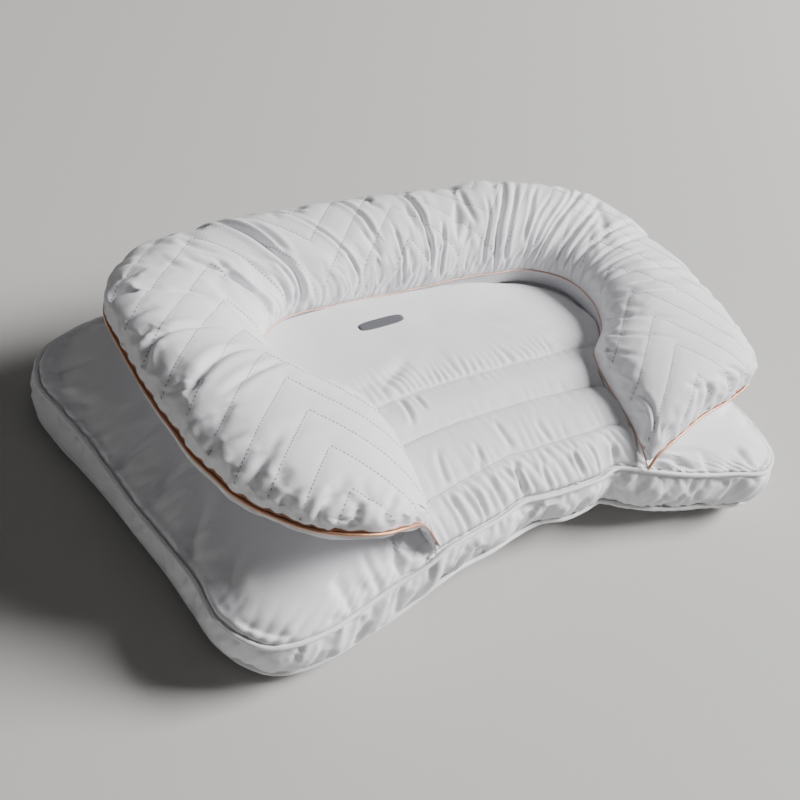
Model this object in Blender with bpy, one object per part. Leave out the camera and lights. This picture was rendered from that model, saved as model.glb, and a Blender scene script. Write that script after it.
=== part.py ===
"""A two-layer neck pillow, lying on its back.

A boxed base cushion with white piping carries a centre pad: a head panel shaped like a D and a
neck section of sewn channels in front of it. A filled, quilted horseshoe stands out round the back
and the two sides of the pad, with copper coloured piping on its seams.

X points to the right, Y to the back and Z up. The origin is the middle of the flat underside.
All sizes below are in millimetres.
"""
import bmesh
import bpy
import numpy as np

MM = 0.001

# The gap that neighbouring pieces keep.
CLEARANCE = 0.3

# Points closer than this to a cut are moved onto it.
WELD = 2.0

# Base cushion, one row for each place round it, from the right side round the back:
# top seam x, y, z and bottom seam x, y, z. The neck pulls the front edge in and up, and the back
# left corner spreads and sags.
BASE_SEAMS = np.array([
    (360, 0, 76, 360, 0, 24), (365, 100, 75, 365, 100, 22), (361, 160, 75, 361, 160, 22),
    (340, 208, 74, 340, 208, 22), (292, 232, 73, 292, 232, 20), (150, 229, 72, 150, 229, 20),
    (0, 227, 70, 0, 227, 18), (-150, 229, 66, -150, 229, 16), (-290, 229, 59, -290, 229, 11),
    (-352, 216, 53, -350, 216, 9), (-396, 190, 51, -393, 190, 8), (-411, 152, 52, -408, 150, 8),
    (-403, 105, 54, -401, 102, 8), (-393, 60, 56, -388, 57, 8), (-385, 8, 58, -376, 8, 8),
    (-378, -39, 60, -367, -38, 9), (-368, -90, 63, -357, -88, 10), (-360, -138, 67, -351, -136, 12),
    (-358, -187, 70, -344, -180, 13), (-347, -210, 72, -330, -207, 14), (-331, -227, 73, -310, -224, 14),
    (-306, -234, 74, -284, -231, 16), (-270, -233, 75, -254, -230, 18), (-229, -223, 77, -221, -224, 20),
    (-187, -213, 82, -185, -218, 26), (-153, -208, 88, -150, -211, 34), (-128, -201, 95, -126, -206, 42),
    (-90, -194, 98, -93, -198, 45), (-53, -187, 98, -48, -191, 45), (-16, -177, 98, -10, -182, 45),
    (13, -179, 98, 27, -176, 45), (56, -179, 98, 60, -181, 45), (90, -177, 98, 92, -178, 45),
    (117, -171, 99, 118, -174, 45), (140, -179, 98, 141, -185, 43), (170, -191, 96, 171, -197, 40),
    (220, -205, 90, 220, -208, 35), (274, -216, 86, 270, -216, 32), (320, -224, 83, 318, -225, 30),
    (350, -206, 81, 350, -208, 28), (365, -160, 79, 365, -162, 26), (363, -90, 77, 363, -90, 25),
], dtype=float)
BASE_STATIONS = 96
GUSSET_BULGE = 6.0
SEAM_NOTCH = 3.0
BASE_WRINKLE = 1.5
RIPPLE_WAVES = (9, 14, 23)
RIPPLE_SEED = 3

# Rings of the base's top panel, as shares of its outline. It is flat as far as the deck's share,
# and then falls as a rounded step, which is softer where the top seam lies low.
TOP_RING_SHARES = (0.35, 0.66, 0.74, 0.82, 0.89, 0.945, 0.98)
DECK_SHARE = 0.66
DECK_Z = 99.0
SAG_SEAM_Z = 52.0
FULL_SEAM_Z = 75.0
SAG_ROUNDNESS = 1.2
FULL_ROUNDNESS = 2.0

# Rings of the gusset, one row each: share of the way down, share of the full bulge.
GUSSET_RINGS = ((0.12, 0.35), (0.5, 1.0), (0.88, 0.35))

# Rings of the underside, one row each: distance in from the seam, share of the height that is left
# under the lip below the piping. It rises evenly over its whole width instead where the bottom seam
# is raised to the hollow's height.
SOLE_LIP = 4.8
SOLE_RINGS = ((0.0, 1.0), (4.0, 0.5), (16.0, 0.15), (34.0, 0.0), (90.0, 0.0))
SOLE_WIDTH = 90.0
FLAT_SEAM_Z = 22.0
HOLLOW_SEAM_Z = 45.0

# Piping.
WHITE_CORD_RADIUS = 2.5
WHITE_CORD_PROUD = 0.8
COPPER_CORD_RADIUS = 2.0
INNER_CORD_RADIUS = 1.2
WHITE_CORD_SIDES = 6
COPPER_CORD_SIDES = 5

# Horseshoe, one row for each section from the left tip round the back to the right tip:
# inner seam x, y, z, outer seam x, y, z, crown above the seams and belly below them.
HORSESHOE_SECTIONS = np.array([
    (-148, -184, 112, -150, -191, 120, 4, 2),
    (-148, -174, 119, -174, -197, 149, 18, 8),
    (-149, -155, 127, -224, -207, 168, 32, 13),
    (-150, -124, 134, -276, -191, 172, 43, 16),
    (-152, -88, 139, -324, -148, 173, 50, 18),
    (-164, -50, 142, -350, -88, 174, 52, 20),
    (-200, -16, 143, -360, -22, 174, 52, 20),
    (-220, 26, 140, -364, 48, 173, 50, 20),
    (-214, 68, 139, -360, 116, 168, 48, 20),
    (-176, 96, 139, -322, 178, 158, 50, 20),
    (-100, 104, 140, -214, 214, 153, 56, 20),
    (0, 107, 142, 0, 224, 154, 58, 20),
    (100, 107, 147, 206, 220, 154, 58, 20),
    (168, 98, 149, 306, 178, 150, 56, 20),
    (206, 68, 149, 352, 100, 143, 54, 20),
    (213, 26, 147, 370, 30, 138, 54, 20),
    (196, -14, 143, 374, -34, 134, 54, 20),
    (162, -46, 139, 372, -88, 131, 52, 18),
    (152, -84, 136, 350, -126, 131, 48, 16),
    (150, -118, 131, 294, -146, 132, 42, 14),
    (149, -146, 125, 236, -158, 132, 32, 11),
    (148, -164, 119, 190, -172, 128, 18, 7),
    (148, -178, 112, 151, -182, 114, 4, 2),
], dtype=float)
HORSESHOE_STATIONS = 96
TOP_ROWS = 11
BELLY_ROWS = 5
FACING_DEPTH = 16.0
FACING_SHARE = 0.2
CROWN_SWELL = 0.22
CROWN_ROUNDNESS = 0.85

# Quilting: a herringbone of straight lines at 45 degrees, in plan.
QUILT_PITCH = 44.0
QUILT_COLUMN = 120.0
QUILT_POINT_X = -10.0
QUILT_COLUMNS = 4
QUILT_LINES = 9
QUILT_DEPTH = 2.6
QUILT_HALF_WIDTH = 6.5
CROWN_LEAN = 0.3

# Creases in the horseshoe, one row each: place along it (0 to 1), half width along it,
# depth in millimetres, and how far out from the inner seam it reaches (0 to 1).
CREASES = np.array([
    (0.17, 0.010, 3.0, 0.55),
    (0.25, 0.009, 4.0, 0.60),
    (0.33, 0.012, 6.0, 0.75),
    (0.365, 0.010, 9.0, 0.85),
    (0.395, 0.011, 7.0, 0.70),
    (0.43, 0.008, 4.0, 0.50),
    (0.52, 0.008, 3.0, 0.45),
    (0.575, 0.008, 4.0, 0.55),
    (0.605, 0.008, 6.0, 0.75),
    (0.632, 0.008, 7.0, 0.85),
    (0.660, 0.008, 6.0, 0.80),
    (0.690, 0.009, 7.0, 0.75),
    (0.722, 0.009, 5.0, 0.65),
    (0.76, 0.009, 4.0, 0.55),
    (0.83, 0.010, 3.0, 0.50),
])

# Centre pad. Heights down its middle, one row each: y, top z. The dips are the sewn seams.
PAD_PROFILE = np.array([
    (112.0, 137.0), (60.0, 141.0), (0.0, 141.0), (-30.0, 138.0), (-38.0, 134.0), (-46.0, 137.0),
    (-66.0, 137.5), (-86.0, 132.5), (-92.0, 129.0), (-99.0, 131.0), (-118.0, 132.0),
    (-134.0, 127.5), (-140.0, 123.5), (-147.0, 124.5), (-156.0, 120.0), (-164.0, 112.5),
    (-172.0, 104.0),
])
# The sewn seams run askew and bowed to the back, one row each: y down the middle, how far the
# seam's two ends are apart along Y, and its bow.
SEAM_BENDS = np.array([
    (-172.0, 0.0, 0.0), (-140.0, 8.0, 5.0), (-92.0, 15.0, 14.0), (-38.0, 28.0, 9.0), (40.0, 0.0, 0.0),
])
PAD_ROWS = 34
PAD_COLUMNS = 26
PAD_FRONT_Y = -172.0
PAD_BACK_Y = 95.0
FRONT_SEAT = 5.0
FRONT_BEND_START_Y = -100.0
BACK_EDGE_BOW = 7.0
BACK_BOW_LENGTH = 60.0
PAD_LEFT_DROP = 4.0
PAD_RIGHT_DROP = 6.0
PAD_LEAST_HEIGHT = 4.0
SEAT_GAP = 0.8
FRONT_GAP = 3.5

# The neck's front band is gathered into soft, uneven folds.
GATHER_START_Y = -138.0
GATHER_FULL_Y = -158.0
GATHER_COUNT = 11
GATHER_DEPTH = 2.5
GATHER_DRIFT = (0.10, 5.0, 1.0)


def hermite(knots, rows, at):
    """Smooth curve through table rows: cubic pieces whose slopes are the rows' own gradients."""
    slopes = np.gradient(rows, knots, axis=0)
    index = np.clip(np.searchsorted(knots, at, side="right") - 1, 0, len(knots) - 2)
    span = (knots[index + 1] - knots[index])[:, None]
    t = (at - knots[index])[:, None] / span
    start = (2 * t**3 - 3 * t**2 + 1) * rows[index] + (t**3 - 2 * t**2 + t) * span * slopes[index]
    end = (3 * t**2 - 2 * t**3) * rows[index + 1] + (t**3 - t**2) * span * slopes[index + 1]
    return start + end


def step_up(value, low, high):
    """0 below low, 1 above high, and a smooth S between them."""
    t = np.clip((value - low) / (high - low), 0.0, 1.0)
    return t * t * (3.0 - 2.0 * t)


def base_seams():
    """Evenly spaced points of both seams round the base, and the outward directions in plan.

    The curve through the table's rows is closed by repeating three rows at each end.
    """
    rows = np.concatenate([BASE_SEAMS[-3:], BASE_SEAMS, BASE_SEAMS[:4]])
    middle = (rows[:, 0:3] + rows[:, 3:6]) / 2
    knots = np.concatenate([[0.0], np.cumsum(np.linalg.norm(np.diff(middle, axis=0), axis=1))])
    at = knots[3] + np.arange(BASE_STATIONS) / BASE_STATIONS * (knots[-4] - knots[3])
    seams = hermite(knots, rows, at)
    ahead = np.roll(seams[:, 0:2], -1, axis=0) - np.roll(seams[:, 0:2], 1, axis=0)
    outward = np.stack([ahead[:, 1], -ahead[:, 0], np.zeros(BASE_STATIONS)], axis=1)
    return seams[:, 0:3], seams[:, 3:6], outward / np.linalg.norm(outward, axis=1)[:, None]


def uneven(place, waves, seed):
    """A smooth irregular ripple between about -1 and 1 along a closed path (place runs 0 to 1)."""
    draw = np.random.default_rng(seed)
    total = np.zeros_like(place)
    for wave in waves:
        total += np.sin(2 * np.pi * (wave * place + draw.random())) * (0.6 + 0.4 * draw.random())
    return total / len(waves)


def base_rings():
    """Rings of the base, from the middle of its top over the gusset to its flat underside."""
    top, bottom, outward = base_seams()
    ripple = uneven(np.arange(BASE_STATIONS) / BASE_STATIONS, RIPPLE_WAVES, RIPPLE_SEED)
    lift = step_up(top[:, 2], FULL_SEAM_Z, DECK_Z)
    full = step_up(top[:, 2], SAG_SEAM_Z, FULL_SEAM_Z)
    roundness = SAG_ROUNDNESS + (FULL_ROUNDNESS - SAG_ROUNDNESS) * full
    rings = []
    for share in TOP_RING_SHARES:
        fall = max(0.0, (share - DECK_SHARE) / (1.0 - DECK_SHARE))
        ring = top * share
        ring[:, 2] = top[:, 2] + (DECK_Z - top[:, 2]) * (1.0 - fall**roundness)**(1.0 / roundness)
        ring[:, 2] += BASE_WRINKLE * ripple * np.sin(np.pi * fall) * (1.0 - lift)
        rings.append(ring)
    rings.append(top - SEAM_NOTCH * outward)
    for share, bulge in GUSSET_RINGS:
        out = GUSSET_BULGE * bulge * (1.0 + 0.5 * ripple)
        rings.append(top + (bottom - top) * share + outward * out[:, None])
    rings.append(bottom - SEAM_NOTCH * outward)
    hollow = step_up(bottom[:, 2], FLAT_SEAM_Z, HOLLOW_SEAM_Z)
    for inset, share in SOLE_RINGS:
        ring = bottom - inset * outward
        ring[:, 2] = (bottom[:, 2] - SOLE_LIP) * (share + (1.0 - inset / SOLE_WIDTH - share) * hollow)
        rings.append(ring)
    return np.array(rings)


def cord_ring(radius, centres, normals, sides):
    """Rings of a cord: circles round each centre, in the plane of that point's normal and Z."""
    angle = np.arange(sides) / sides * 2 * np.pi
    across = normals[:, None, :] * np.cos(angle)[None, :, None]
    up = np.array([0.0, 0.0, 1.0]) * np.sin(angle)[None, :, None]
    return centres[:, None, :] + radius * (across + up)


def base_cord(seam, outward):
    """A closed cord in one of the base's seams, a little proud of it."""
    centres = seam + WHITE_CORD_PROUD * outward
    return cord_ring(WHITE_CORD_RADIUS, centres, outward, WHITE_CORD_SIDES)


def horseshoe_stations(count):
    """Evenly spaced sections along the horseshoe, from the table of sections."""
    middle = (HORSESHOE_SECTIONS[:, 0:3] + HORSESHOE_SECTIONS[:, 3:6]) / 2
    steps = np.linalg.norm(np.diff(middle, axis=0), axis=1)
    knots = np.concatenate([[0.0], np.cumsum(steps)])
    at = np.linspace(0.0, knots[-1], count)
    return at / knots[-1], hermite(knots, HORSESHOE_SECTIONS, at)


def crease_depth(place, reach):
    """How deep the creases press in, at each place along the horseshoe and share of the way out."""
    depth = np.zeros(np.broadcast(place, reach).shape)
    for centre, half_width, deep, far in CREASES:
        along = np.exp(-((place - centre) / half_width)**2)
        outward = step_up(far - reach, 0.0, 0.7 * far)
        depth = depth + deep * along * outward
    return depth


def horseshoe_rings():
    """Rings across the horseshoe: over the crown from inner to outer seam, then back below."""
    place, rows = horseshoe_stations(HORSESHOE_STATIONS)
    inner, outer, crown, belly = rows[:, 0:3], rows[:, 3:6], rows[:, 6], rows[:, 7]
    chord = outer - inner
    width = np.linalg.norm(chord, axis=1)
    up = np.array([0.0, 0.0, 1.0])
    turn = np.pi * np.arange(TOP_ROWS + 1) / TOP_ROWS
    across = (1.0 - np.cos(turn) * (1.0 + CROWN_SWELL * np.sin(turn))) / 2
    rise = np.maximum(np.sin(turn), 0.0)
    lift = crown[:, None] * rise[None, :]**CROWN_ROUNDNESS
    lift = lift - crease_depth(place[:, None], across[None, :]) * rise[None, :]
    top = inner[:, None, :] + chord[:, None, :] * across[None, :, None] + lift[:, :, None] * up
    turn = np.pi * (1.0 - np.arange(1, BELLY_ROWS + 1) / (BELLY_ROWS + 1))
    across = (1.0 - np.cos(turn)) / 2
    drop = belly[:, None] * np.sin(turn)[None, :]
    sole = inner[:, None, :] + chord[:, None, :] * across[None, :, None] - drop[:, :, None] * up
    depth = np.minimum(FACING_DEPTH, width * FACING_SHARE)
    facing = inner - depth[:, None] * up
    foot = step_up(1.0 - across, 0.0, 1.0)
    sole = sole - (depth[:, None] * foot[None, :])[:, :, None] * up
    return np.concatenate([top, sole, facing[:, None, :]], axis=1)


def copper_cord(seam_columns, outward, drop, radius):
    """An open cord beside one of the horseshoe's seams, from tip to tip."""
    place, rows = horseshoe_stations(HORSESHOE_STATIONS)
    seam = rows[:, seam_columns:seam_columns + 3]
    chord = rows[:, 3:6] - rows[:, 0:3]
    chord[:, 2] = 0.0
    normal = chord / np.linalg.norm(chord, axis=1)[:, None]
    ahead = np.gradient(seam, axis=0)
    flat = np.stack([ahead[:, 1], -ahead[:, 0], np.zeros(len(ahead))], axis=1)
    flat = flat / np.linalg.norm(flat, axis=1)[:, None]
    flat = flat * np.sign(np.sum(flat * normal, axis=1))[:, None]
    centres = seam + flat * outward - np.array([0.0, 0.0, 1.0]) * drop
    return cord_ring(radius, centres[1:-1], flat[1:-1], COPPER_CORD_SIDES)


def pad_outline(y):
    """Left and right edges of the pad at each y: just inside the horseshoe's inner seam."""
    place, rows = horseshoe_stations(2 * HORSESHOE_STATIONS)
    half = HORSESHOE_STATIONS
    left, right = rows[:half, 0:2], rows[half:, 0:2][::-1]
    gap = SEAT_GAP + FRONT_GAP * step_up(-y, -FRONT_BEND_START_Y, -PAD_FRONT_Y)
    return np.interp(y, left[:, 1], left[:, 0]) + gap, np.interp(y, right[:, 1], right[:, 0]) - gap


def front_edge(x):
    """The y of the pad's front edge at each x: just behind the piping of the base's top seam."""
    seam = base_seams()[0]
    front = seam[(seam[:, 1] < FRONT_BEND_START_Y) & (np.abs(seam[:, 0]) < -2.0 * PAD_FRONT_Y)]
    front = front[np.argsort(front[:, 0])]
    return np.interp(x, front[:, 0], front[:, 1]) + FRONT_SEAT


def pad_top(y, column):
    """Height of the pad's top: its bent profile, lower towards the sides, gathered at the front."""
    order = PAD_PROFILE[::-1]
    apart = np.interp(y, SEAM_BENDS[:, 0], SEAM_BENDS[:, 1])[:, None]
    bow = np.interp(y, SEAM_BENDS[:, 0], SEAM_BENDS[:, 2])[:, None]
    seam_shift = apart / 2 * column[None, :] + bow * (1.0 - column[None, :]**2)
    middle = np.interp(y[:, None] - seam_shift, order[:, 0], order[:, 1])
    drop = np.where(column > 0, PAD_RIGHT_DROP, PAD_LEFT_DROP)[None, :] * np.abs(column)[None, :]**6
    gathered = step_up(-y, -GATHER_START_Y, -GATHER_FULL_Y)[:, None]
    drift, waves, start = GATHER_DRIFT
    fold = np.sin(np.pi * GATHER_COUNT * (column + drift * np.sin(waves * column + start)))
    return middle - drop + GATHER_DEPTH * gathered * (fold * (1.0 - column**8))[None, :]


def pad_rings():
    """Rings across the pad, from its front edge to its back edge."""
    y = np.linspace(PAD_FRONT_Y, PAD_BACK_Y, PAD_ROWS)
    column = np.linspace(-1.0, 1.0, PAD_COLUMNS + 1)
    left, right = pad_outline(y)
    x = (left + right)[:, None] / 2 + (right - left)[:, None] / 2 * column[None, :]
    back_bow = BACK_EDGE_BOW * step_up(y, PAD_BACK_Y - BACK_BOW_LENGTH, PAD_BACK_Y)
    front_bend = step_up(-y, -FRONT_BEND_START_Y, -PAD_FRONT_Y)[:, None] * (front_edge(x) - PAD_FRONT_Y)
    bent_y = y[:, None] + back_bow[:, None] * (1.0 - column**2) + front_bend
    floor = DECK_Z + CLEARANCE
    top = np.maximum(pad_top(y, column), floor + PAD_LEAST_HEIGHT)
    crown = np.stack([x, bent_y, top], axis=2)
    right_wall, left_wall = crown[:, -1:].copy(), crown[:, :1].copy()
    for wall in (right_wall, left_wall):
        wall[:, :, 2] = (wall[:, :, 2] + floor) / 2
    sole = crown[:, ::-1].copy()
    sole[:, :, 2] = floor
    return np.concatenate([crown, right_wall, sole, left_wall], axis=1)


def grid_quads(rows, columns, closed_rows):
    """Corner numbers of the quads between neighbouring rings; every ring is closed."""
    last = rows if closed_rows else rows - 1
    r, c = np.meshgrid(np.arange(last), np.arange(columns), indexing="ij")
    r, c = r.ravel(), c.ravel()
    below, beside = (r + 1) % rows, (c + 1) % columns
    corners = (r * columns + c, r * columns + beside, below * columns + beside, below * columns + c)
    return np.stack(corners, axis=1).tolist()


def fan_cap(start, columns, centre):
    """Triangles from a centre point to a ring of points that starts at a corner number."""
    return [[centre, start + c, start + (c + 1) % columns] for c in range(columns)]


def ladder_cap(start, columns):
    """Close a ring whose first half lies over its second half: quads from one half to the other."""
    half = columns // 2 - 1
    quads = [
        [start + c, start + c + 1, start + columns - 3 - c, start + columns - 2 - c]
        for c in range(half - 1)
    ]
    left = [start + columns - 1, start, start + columns - 2]
    right = [start + half - 1, start + half, start + half + 1]
    return quads + [left, right]


def add_body(name, rings, material, ends="fan"):
    """Make one closed solid from rings of points, and give it a material.

    ends says how the first and the last ring are closed: by a fan, by a ladder, or, where it is
    "joined", by running on from the last ring to the first.
    """
    rows, columns = rings.shape[:2]
    points = rings.reshape(-1, 3)
    faces = grid_quads(rows, columns, ends == "joined")
    last_start = (rows - 1) * columns
    if ends == "fan":
        faces += [face[::-1] for face in fan_cap(0, columns, len(points))]
        faces += fan_cap(last_start, columns, len(points) + 1)
        points = np.vstack([points, rings[0].mean(axis=0), rings[-1].mean(axis=0)])
    elif ends == "ladder":
        faces += [face[::-1] for face in ladder_cap(0, columns)]
        faces += ladder_cap(last_start, columns)
    if enclosed_volume(points, faces) < 0:
        faces = [face[::-1] for face in faces]
    mesh = bpy.data.meshes.new(name)
    mesh.from_pydata((points * MM).tolist(), [], faces)
    mesh.shade_smooth()
    mesh.materials.append(material)
    body = bpy.data.objects.new(name, mesh)
    bpy.context.collection.objects.link(body)
    return body


def quilt_lines():
    """The stitched lines in plan: each one's column of cloth (low x, high x), a point and a normal.

    In each column the lines run at 45 degrees. They fall to the right in one column and rise in
    the next, so that they meet in points along the columns' edges.
    """
    lines = []
    for column in range(-QUILT_COLUMNS, QUILT_COLUMNS):
        low = QUILT_POINT_X + column * QUILT_COLUMN
        high = low + QUILT_COLUMN
        falls = column % 2 == 0
        point_x, normal = (low, (1.0, 1.0)) if falls else (high, (-1.0, 1.0))
        for step in range(-QUILT_LINES, QUILT_LINES):
            lines.append((low, high, (point_x, step * QUILT_PITCH), normal))
    return lines


def crown_geometry(bm, low, high):
    """The faces of the crown between two planes across X, with their edges and corners."""
    faces = [
        face for face in bm.faces
        if face.normal.z > CROWN_LEAN and low * MM < face.calc_center_median().x < high * MM
    ]
    edges = {edge for face in faces for edge in face.edges}
    corners = {corner for face in faces for corner in face.verts}
    return faces + list(edges) + list(corners)


def quilt(body):
    """Cut the stitched lines into the crown, then press its points down towards the nearest line."""
    bm = bmesh.new()
    bm.from_mesh(body.data)
    everywhere = (-QUILT_COLUMNS * QUILT_COLUMN, QUILT_COLUMNS * QUILT_COLUMN)
    for column in range(1 - QUILT_COLUMNS, QUILT_COLUMNS):
        edge = (QUILT_POINT_X + column * QUILT_COLUMN) * MM
        geometry = crown_geometry(bm, *everywhere)
        bmesh.ops.bisect_plane(bm, geom=geometry, dist=WELD * MM, plane_co=(edge, 0, 0), plane_no=(1, 0, 0))
    for low, high, (x, y), (across, along) in quilt_lines():
        for side in (-QUILT_HALF_WIDTH, 0.0, QUILT_HALF_WIDTH):
            geometry = crown_geometry(bm, low, high)
            if geometry:
                bmesh.ops.bisect_plane(
                    bm, geom=geometry, dist=WELD * MM, plane_no=(across, along, 0.0),
                    plane_co=(x * MM, (y + side * np.sqrt(2.0)) * MM, 0.0),
                )
    bm.normal_update()
    for corner in bm.verts:
        if corner.normal.z > CROWN_LEAN:
            off = distance_to_stitches(corner.co.x / MM, corner.co.y / MM)
            corner.co.z -= QUILT_DEPTH * max(0.0, 1.0 - off / QUILT_HALF_WIDTH) * MM
    bm.to_mesh(body.data)
    bm.free()


def distance_to_stitches(x, y):
    """Distance in plan from the nearest stitched line, straight across it."""
    from_point = abs((x - QUILT_POINT_X + QUILT_COLUMN) % (2 * QUILT_COLUMN) - QUILT_COLUMN)
    phase = (y + from_point) / QUILT_PITCH
    return abs(phase - round(phase)) * QUILT_PITCH * np.sqrt(0.5)


def enclosed_volume(points, faces):
    """Signed volume inside the faces, from their fans of triangles."""
    total = 0.0
    for face in faces:
        corner = points[face[0]]
        for second, third in zip(face[1:-1], face[2:]):
            total += np.dot(corner, np.cross(points[second], points[third])) / 6.0
    return total


def make_material(name, colour, roughness, metallic=0.0):
    """A plain Principled material."""
    material = bpy.data.materials.new(name)
    material.use_nodes = True
    shader = material.node_tree.nodes["Principled BSDF"]
    shader.inputs["Base Color"].default_value = (*colour, 1.0)
    shader.inputs["Roughness"].default_value = roughness
    shader.inputs["Metallic"].default_value = metallic
    return material


def main():
    for old in list(bpy.data.objects):
        bpy.data.objects.remove(old, do_unlink=True)
    cotton = make_material("white_cotton", (0.80, 0.80, 0.83), 0.75)
    panel = make_material("white_panel", (0.78, 0.78, 0.81), 0.72)
    quilted = make_material("quilted_cotton", (0.82, 0.82, 0.85), 0.75)
    white_cord = make_material("white_piping", (0.76, 0.76, 0.78), 0.6)
    copper_cord_finish = make_material("copper_piping", (0.62, 0.36, 0.22), 0.38, 0.3)
    add_body("base_pillow", base_rings(), cotton)
    top, bottom, outward = base_seams()
    add_body("base_piping_top", base_cord(top, outward), white_cord, ends="joined")
    add_body("base_piping_bottom", base_cord(bottom, outward), white_cord, ends="joined")
    add_body("centre_pad", pad_rings(), panel, ends="ladder")
    quilt(add_body("horseshoe", horseshoe_rings(), quilted))
    outer = copper_cord(3, COPPER_CORD_RADIUS + CLEARANCE, 0.0, COPPER_CORD_RADIUS)
    add_body("horseshoe_piping_outer", outer, copper_cord_finish)
    inner = copper_cord(0, -INNER_CORD_RADIUS - CLEARANCE, -INNER_CORD_RADIUS, INNER_CORD_RADIUS)
    add_body("horseshoe_piping_inner", inner, copper_cord_finish)


main()
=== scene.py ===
# %% [markdown]
# # A two-layer neck pillow
#
# The real pillow is sewn from white cotton. A boxed base cushion with white piping lies at the
# bottom. A flat pad with a head panel and sewn neck channels is stitched on top of it, and a
# filled, quilted horseshoe with copper coloured piping stands round the back and sides of the pad.
# This script loads the CAD model's frame and puts a cloth piece in the place of each solid.

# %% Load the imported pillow
import math
import bmesh
import bpy
import numpy as np
from mathutils import Matrix, Vector
from mathutils.bvhtree import BVHTree


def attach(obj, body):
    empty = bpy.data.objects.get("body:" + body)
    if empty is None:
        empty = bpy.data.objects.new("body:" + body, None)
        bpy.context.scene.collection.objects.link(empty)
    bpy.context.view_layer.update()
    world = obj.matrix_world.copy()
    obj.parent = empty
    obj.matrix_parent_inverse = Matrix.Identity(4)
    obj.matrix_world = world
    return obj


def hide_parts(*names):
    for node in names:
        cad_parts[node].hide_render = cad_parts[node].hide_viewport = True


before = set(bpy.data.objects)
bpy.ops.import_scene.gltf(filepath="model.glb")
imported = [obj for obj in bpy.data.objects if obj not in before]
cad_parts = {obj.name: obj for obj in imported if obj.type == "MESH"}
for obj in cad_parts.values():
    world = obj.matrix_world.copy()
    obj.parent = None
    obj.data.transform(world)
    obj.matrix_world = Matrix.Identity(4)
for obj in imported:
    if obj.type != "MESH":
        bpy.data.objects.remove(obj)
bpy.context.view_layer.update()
MM = 0.001
UP = np.array([0.0, 0.0, 1.0])

# %% [markdown]
# ## Small tools for cloth surfaces
#
# Every panel is a bent sheet, so it is made as a grid of points. A table of sizes gives the main
# shape, smooth curves run through its rows, and folds are added as heights over the same grid.
# That is easier to change than points pulled by hand, and the sizes stay readable.

# %% Curves and steps
CLOUD_SIZE = 64


def hermite(knots, rows, at):
    """Smooth curve through table rows: cubic pieces whose slopes are the rows' own gradients."""
    slopes = np.gradient(rows, knots, axis=0)
    index = np.clip(np.searchsorted(knots, at, side="right") - 1, 0, len(knots) - 2)
    span = (knots[index + 1] - knots[index])[:, None]
    t = (at - knots[index])[:, None] / span
    start = (2 * t**3 - 3 * t**2 + 1) * rows[index] + (t**3 - 2 * t**2 + t) * span * slopes[index]
    end = (3 * t**2 - 2 * t**3) * rows[index + 1] + (t**3 - t**2) * span * slopes[index + 1]
    return start + end


def knots_of(rows):
    """How far along each row of a table lies, measured midway between its two seams."""
    middle = (rows[:, 0:3] + rows[:, 3:6]) / 2
    return np.concatenate([[0.0], np.cumsum(np.linalg.norm(np.diff(middle, axis=0), axis=1))])


def step_up(value, low=0.0, high=1.0):
    """0 below low, 1 above high, and a smooth S between them: t*t*(3 - 2*t)."""
    t = np.clip((value - low) / (high - low), 0.0, 1.0)
    return t * t * (3.0 - 2.0 * t)


def bell(value, width, middle=0.0):
    """1 in the middle, and less on both sides of it: exp(-((value - middle) / width)**2)."""
    return np.exp(-((value - middle) / width)**2)


def cloud(x, y, seed):
    """Smooth noise from -1 to 1: random values at whole numbers, joined by S curves both ways."""
    x, y = np.broadcast_arrays(x, y)
    values = np.random.default_rng(seed).uniform(-1.0, 1.0, (CLOUD_SIZE, CLOUD_SIZE))
    left, low = np.floor(x).astype(int), np.floor(y).astype(int)
    s, t = step_up(x - left), step_up(y - low)

    def joined(j):
        line = (low + j) % CLOUD_SIZE
        return values[left % CLOUD_SIZE, line] * (1 - s) + values[(left + 1) % CLOUD_SIZE, line] * s

    return joined(0) * (1 - t) + joined(1) * t


# %% Grids
def refine(grid, closed):
    """Twice as many rows. A new row lies between four old ones, at (9*(b + c) - a - d) / 16."""
    if closed:
        padded = np.concatenate([grid[-1:], grid, grid[:2]])
    else:
        padded = np.concatenate([2 * grid[:1] - grid[1:2], grid, 2 * grid[-1:] - grid[-2:-1]])
    between = (9.0 * (padded[1:-2] + padded[2:-1]) - padded[:-3] - padded[3:]) / 16.0
    woven = np.stack([grid[:len(between)], between], axis=1).reshape(-1, *grid.shape[1:])
    return woven if closed else np.concatenate([woven, grid[-1:]])


def refine_both(grid):
    """Twice as many points both ways, in a grid whose rows are closed rings."""
    return refine(refine(grid, False).swapaxes(0, 1), True).swapaxes(0, 1)


def normals_of(grid):
    """Unit normals of a grid whose rows are closed rings: the cross product of its steps."""
    normal = np.cross(np.gradient(grid, axis=0), np.roll(grid, -1, 1) - np.roll(grid, 1, 1))
    return normal / np.maximum(np.linalg.norm(normal, axis=2, keepdims=True), 1e-9)


def blur(grid, reach, closed):
    """Each row becomes the bell-weighted mean of the rows within reach of it, along the first axis."""
    offsets = np.arange(-reach, reach + 1)
    weights = bell(offsets, 0.5 * reach)
    weights = weights / weights.sum()
    ends = [(reach, reach)] + [(0, 0)] * (grid.ndim - 1)
    padded = np.pad(grid, ends, mode="wrap" if closed else "edge")
    return sum(w * padded[reach + o:reach + o + len(grid)] for w, o in zip(weights, offsets))


# %% Meshes from grids
def add_object(name, data):
    """A new object in the scene, with this data."""
    thing = bpy.data.objects.new(name, data)
    bpy.context.scene.collection.objects.link(thing)
    return thing


def faces_inwards(points, faces):
    """Whether the faces enclose a negative volume, summed as corner . (corner x corner) / 6."""
    a, b, c, d = (points[faces[:, k]] for k in range(4))
    return np.sum(a * (np.cross(b, c) + np.cross(c, d))) < 0.0


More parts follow.
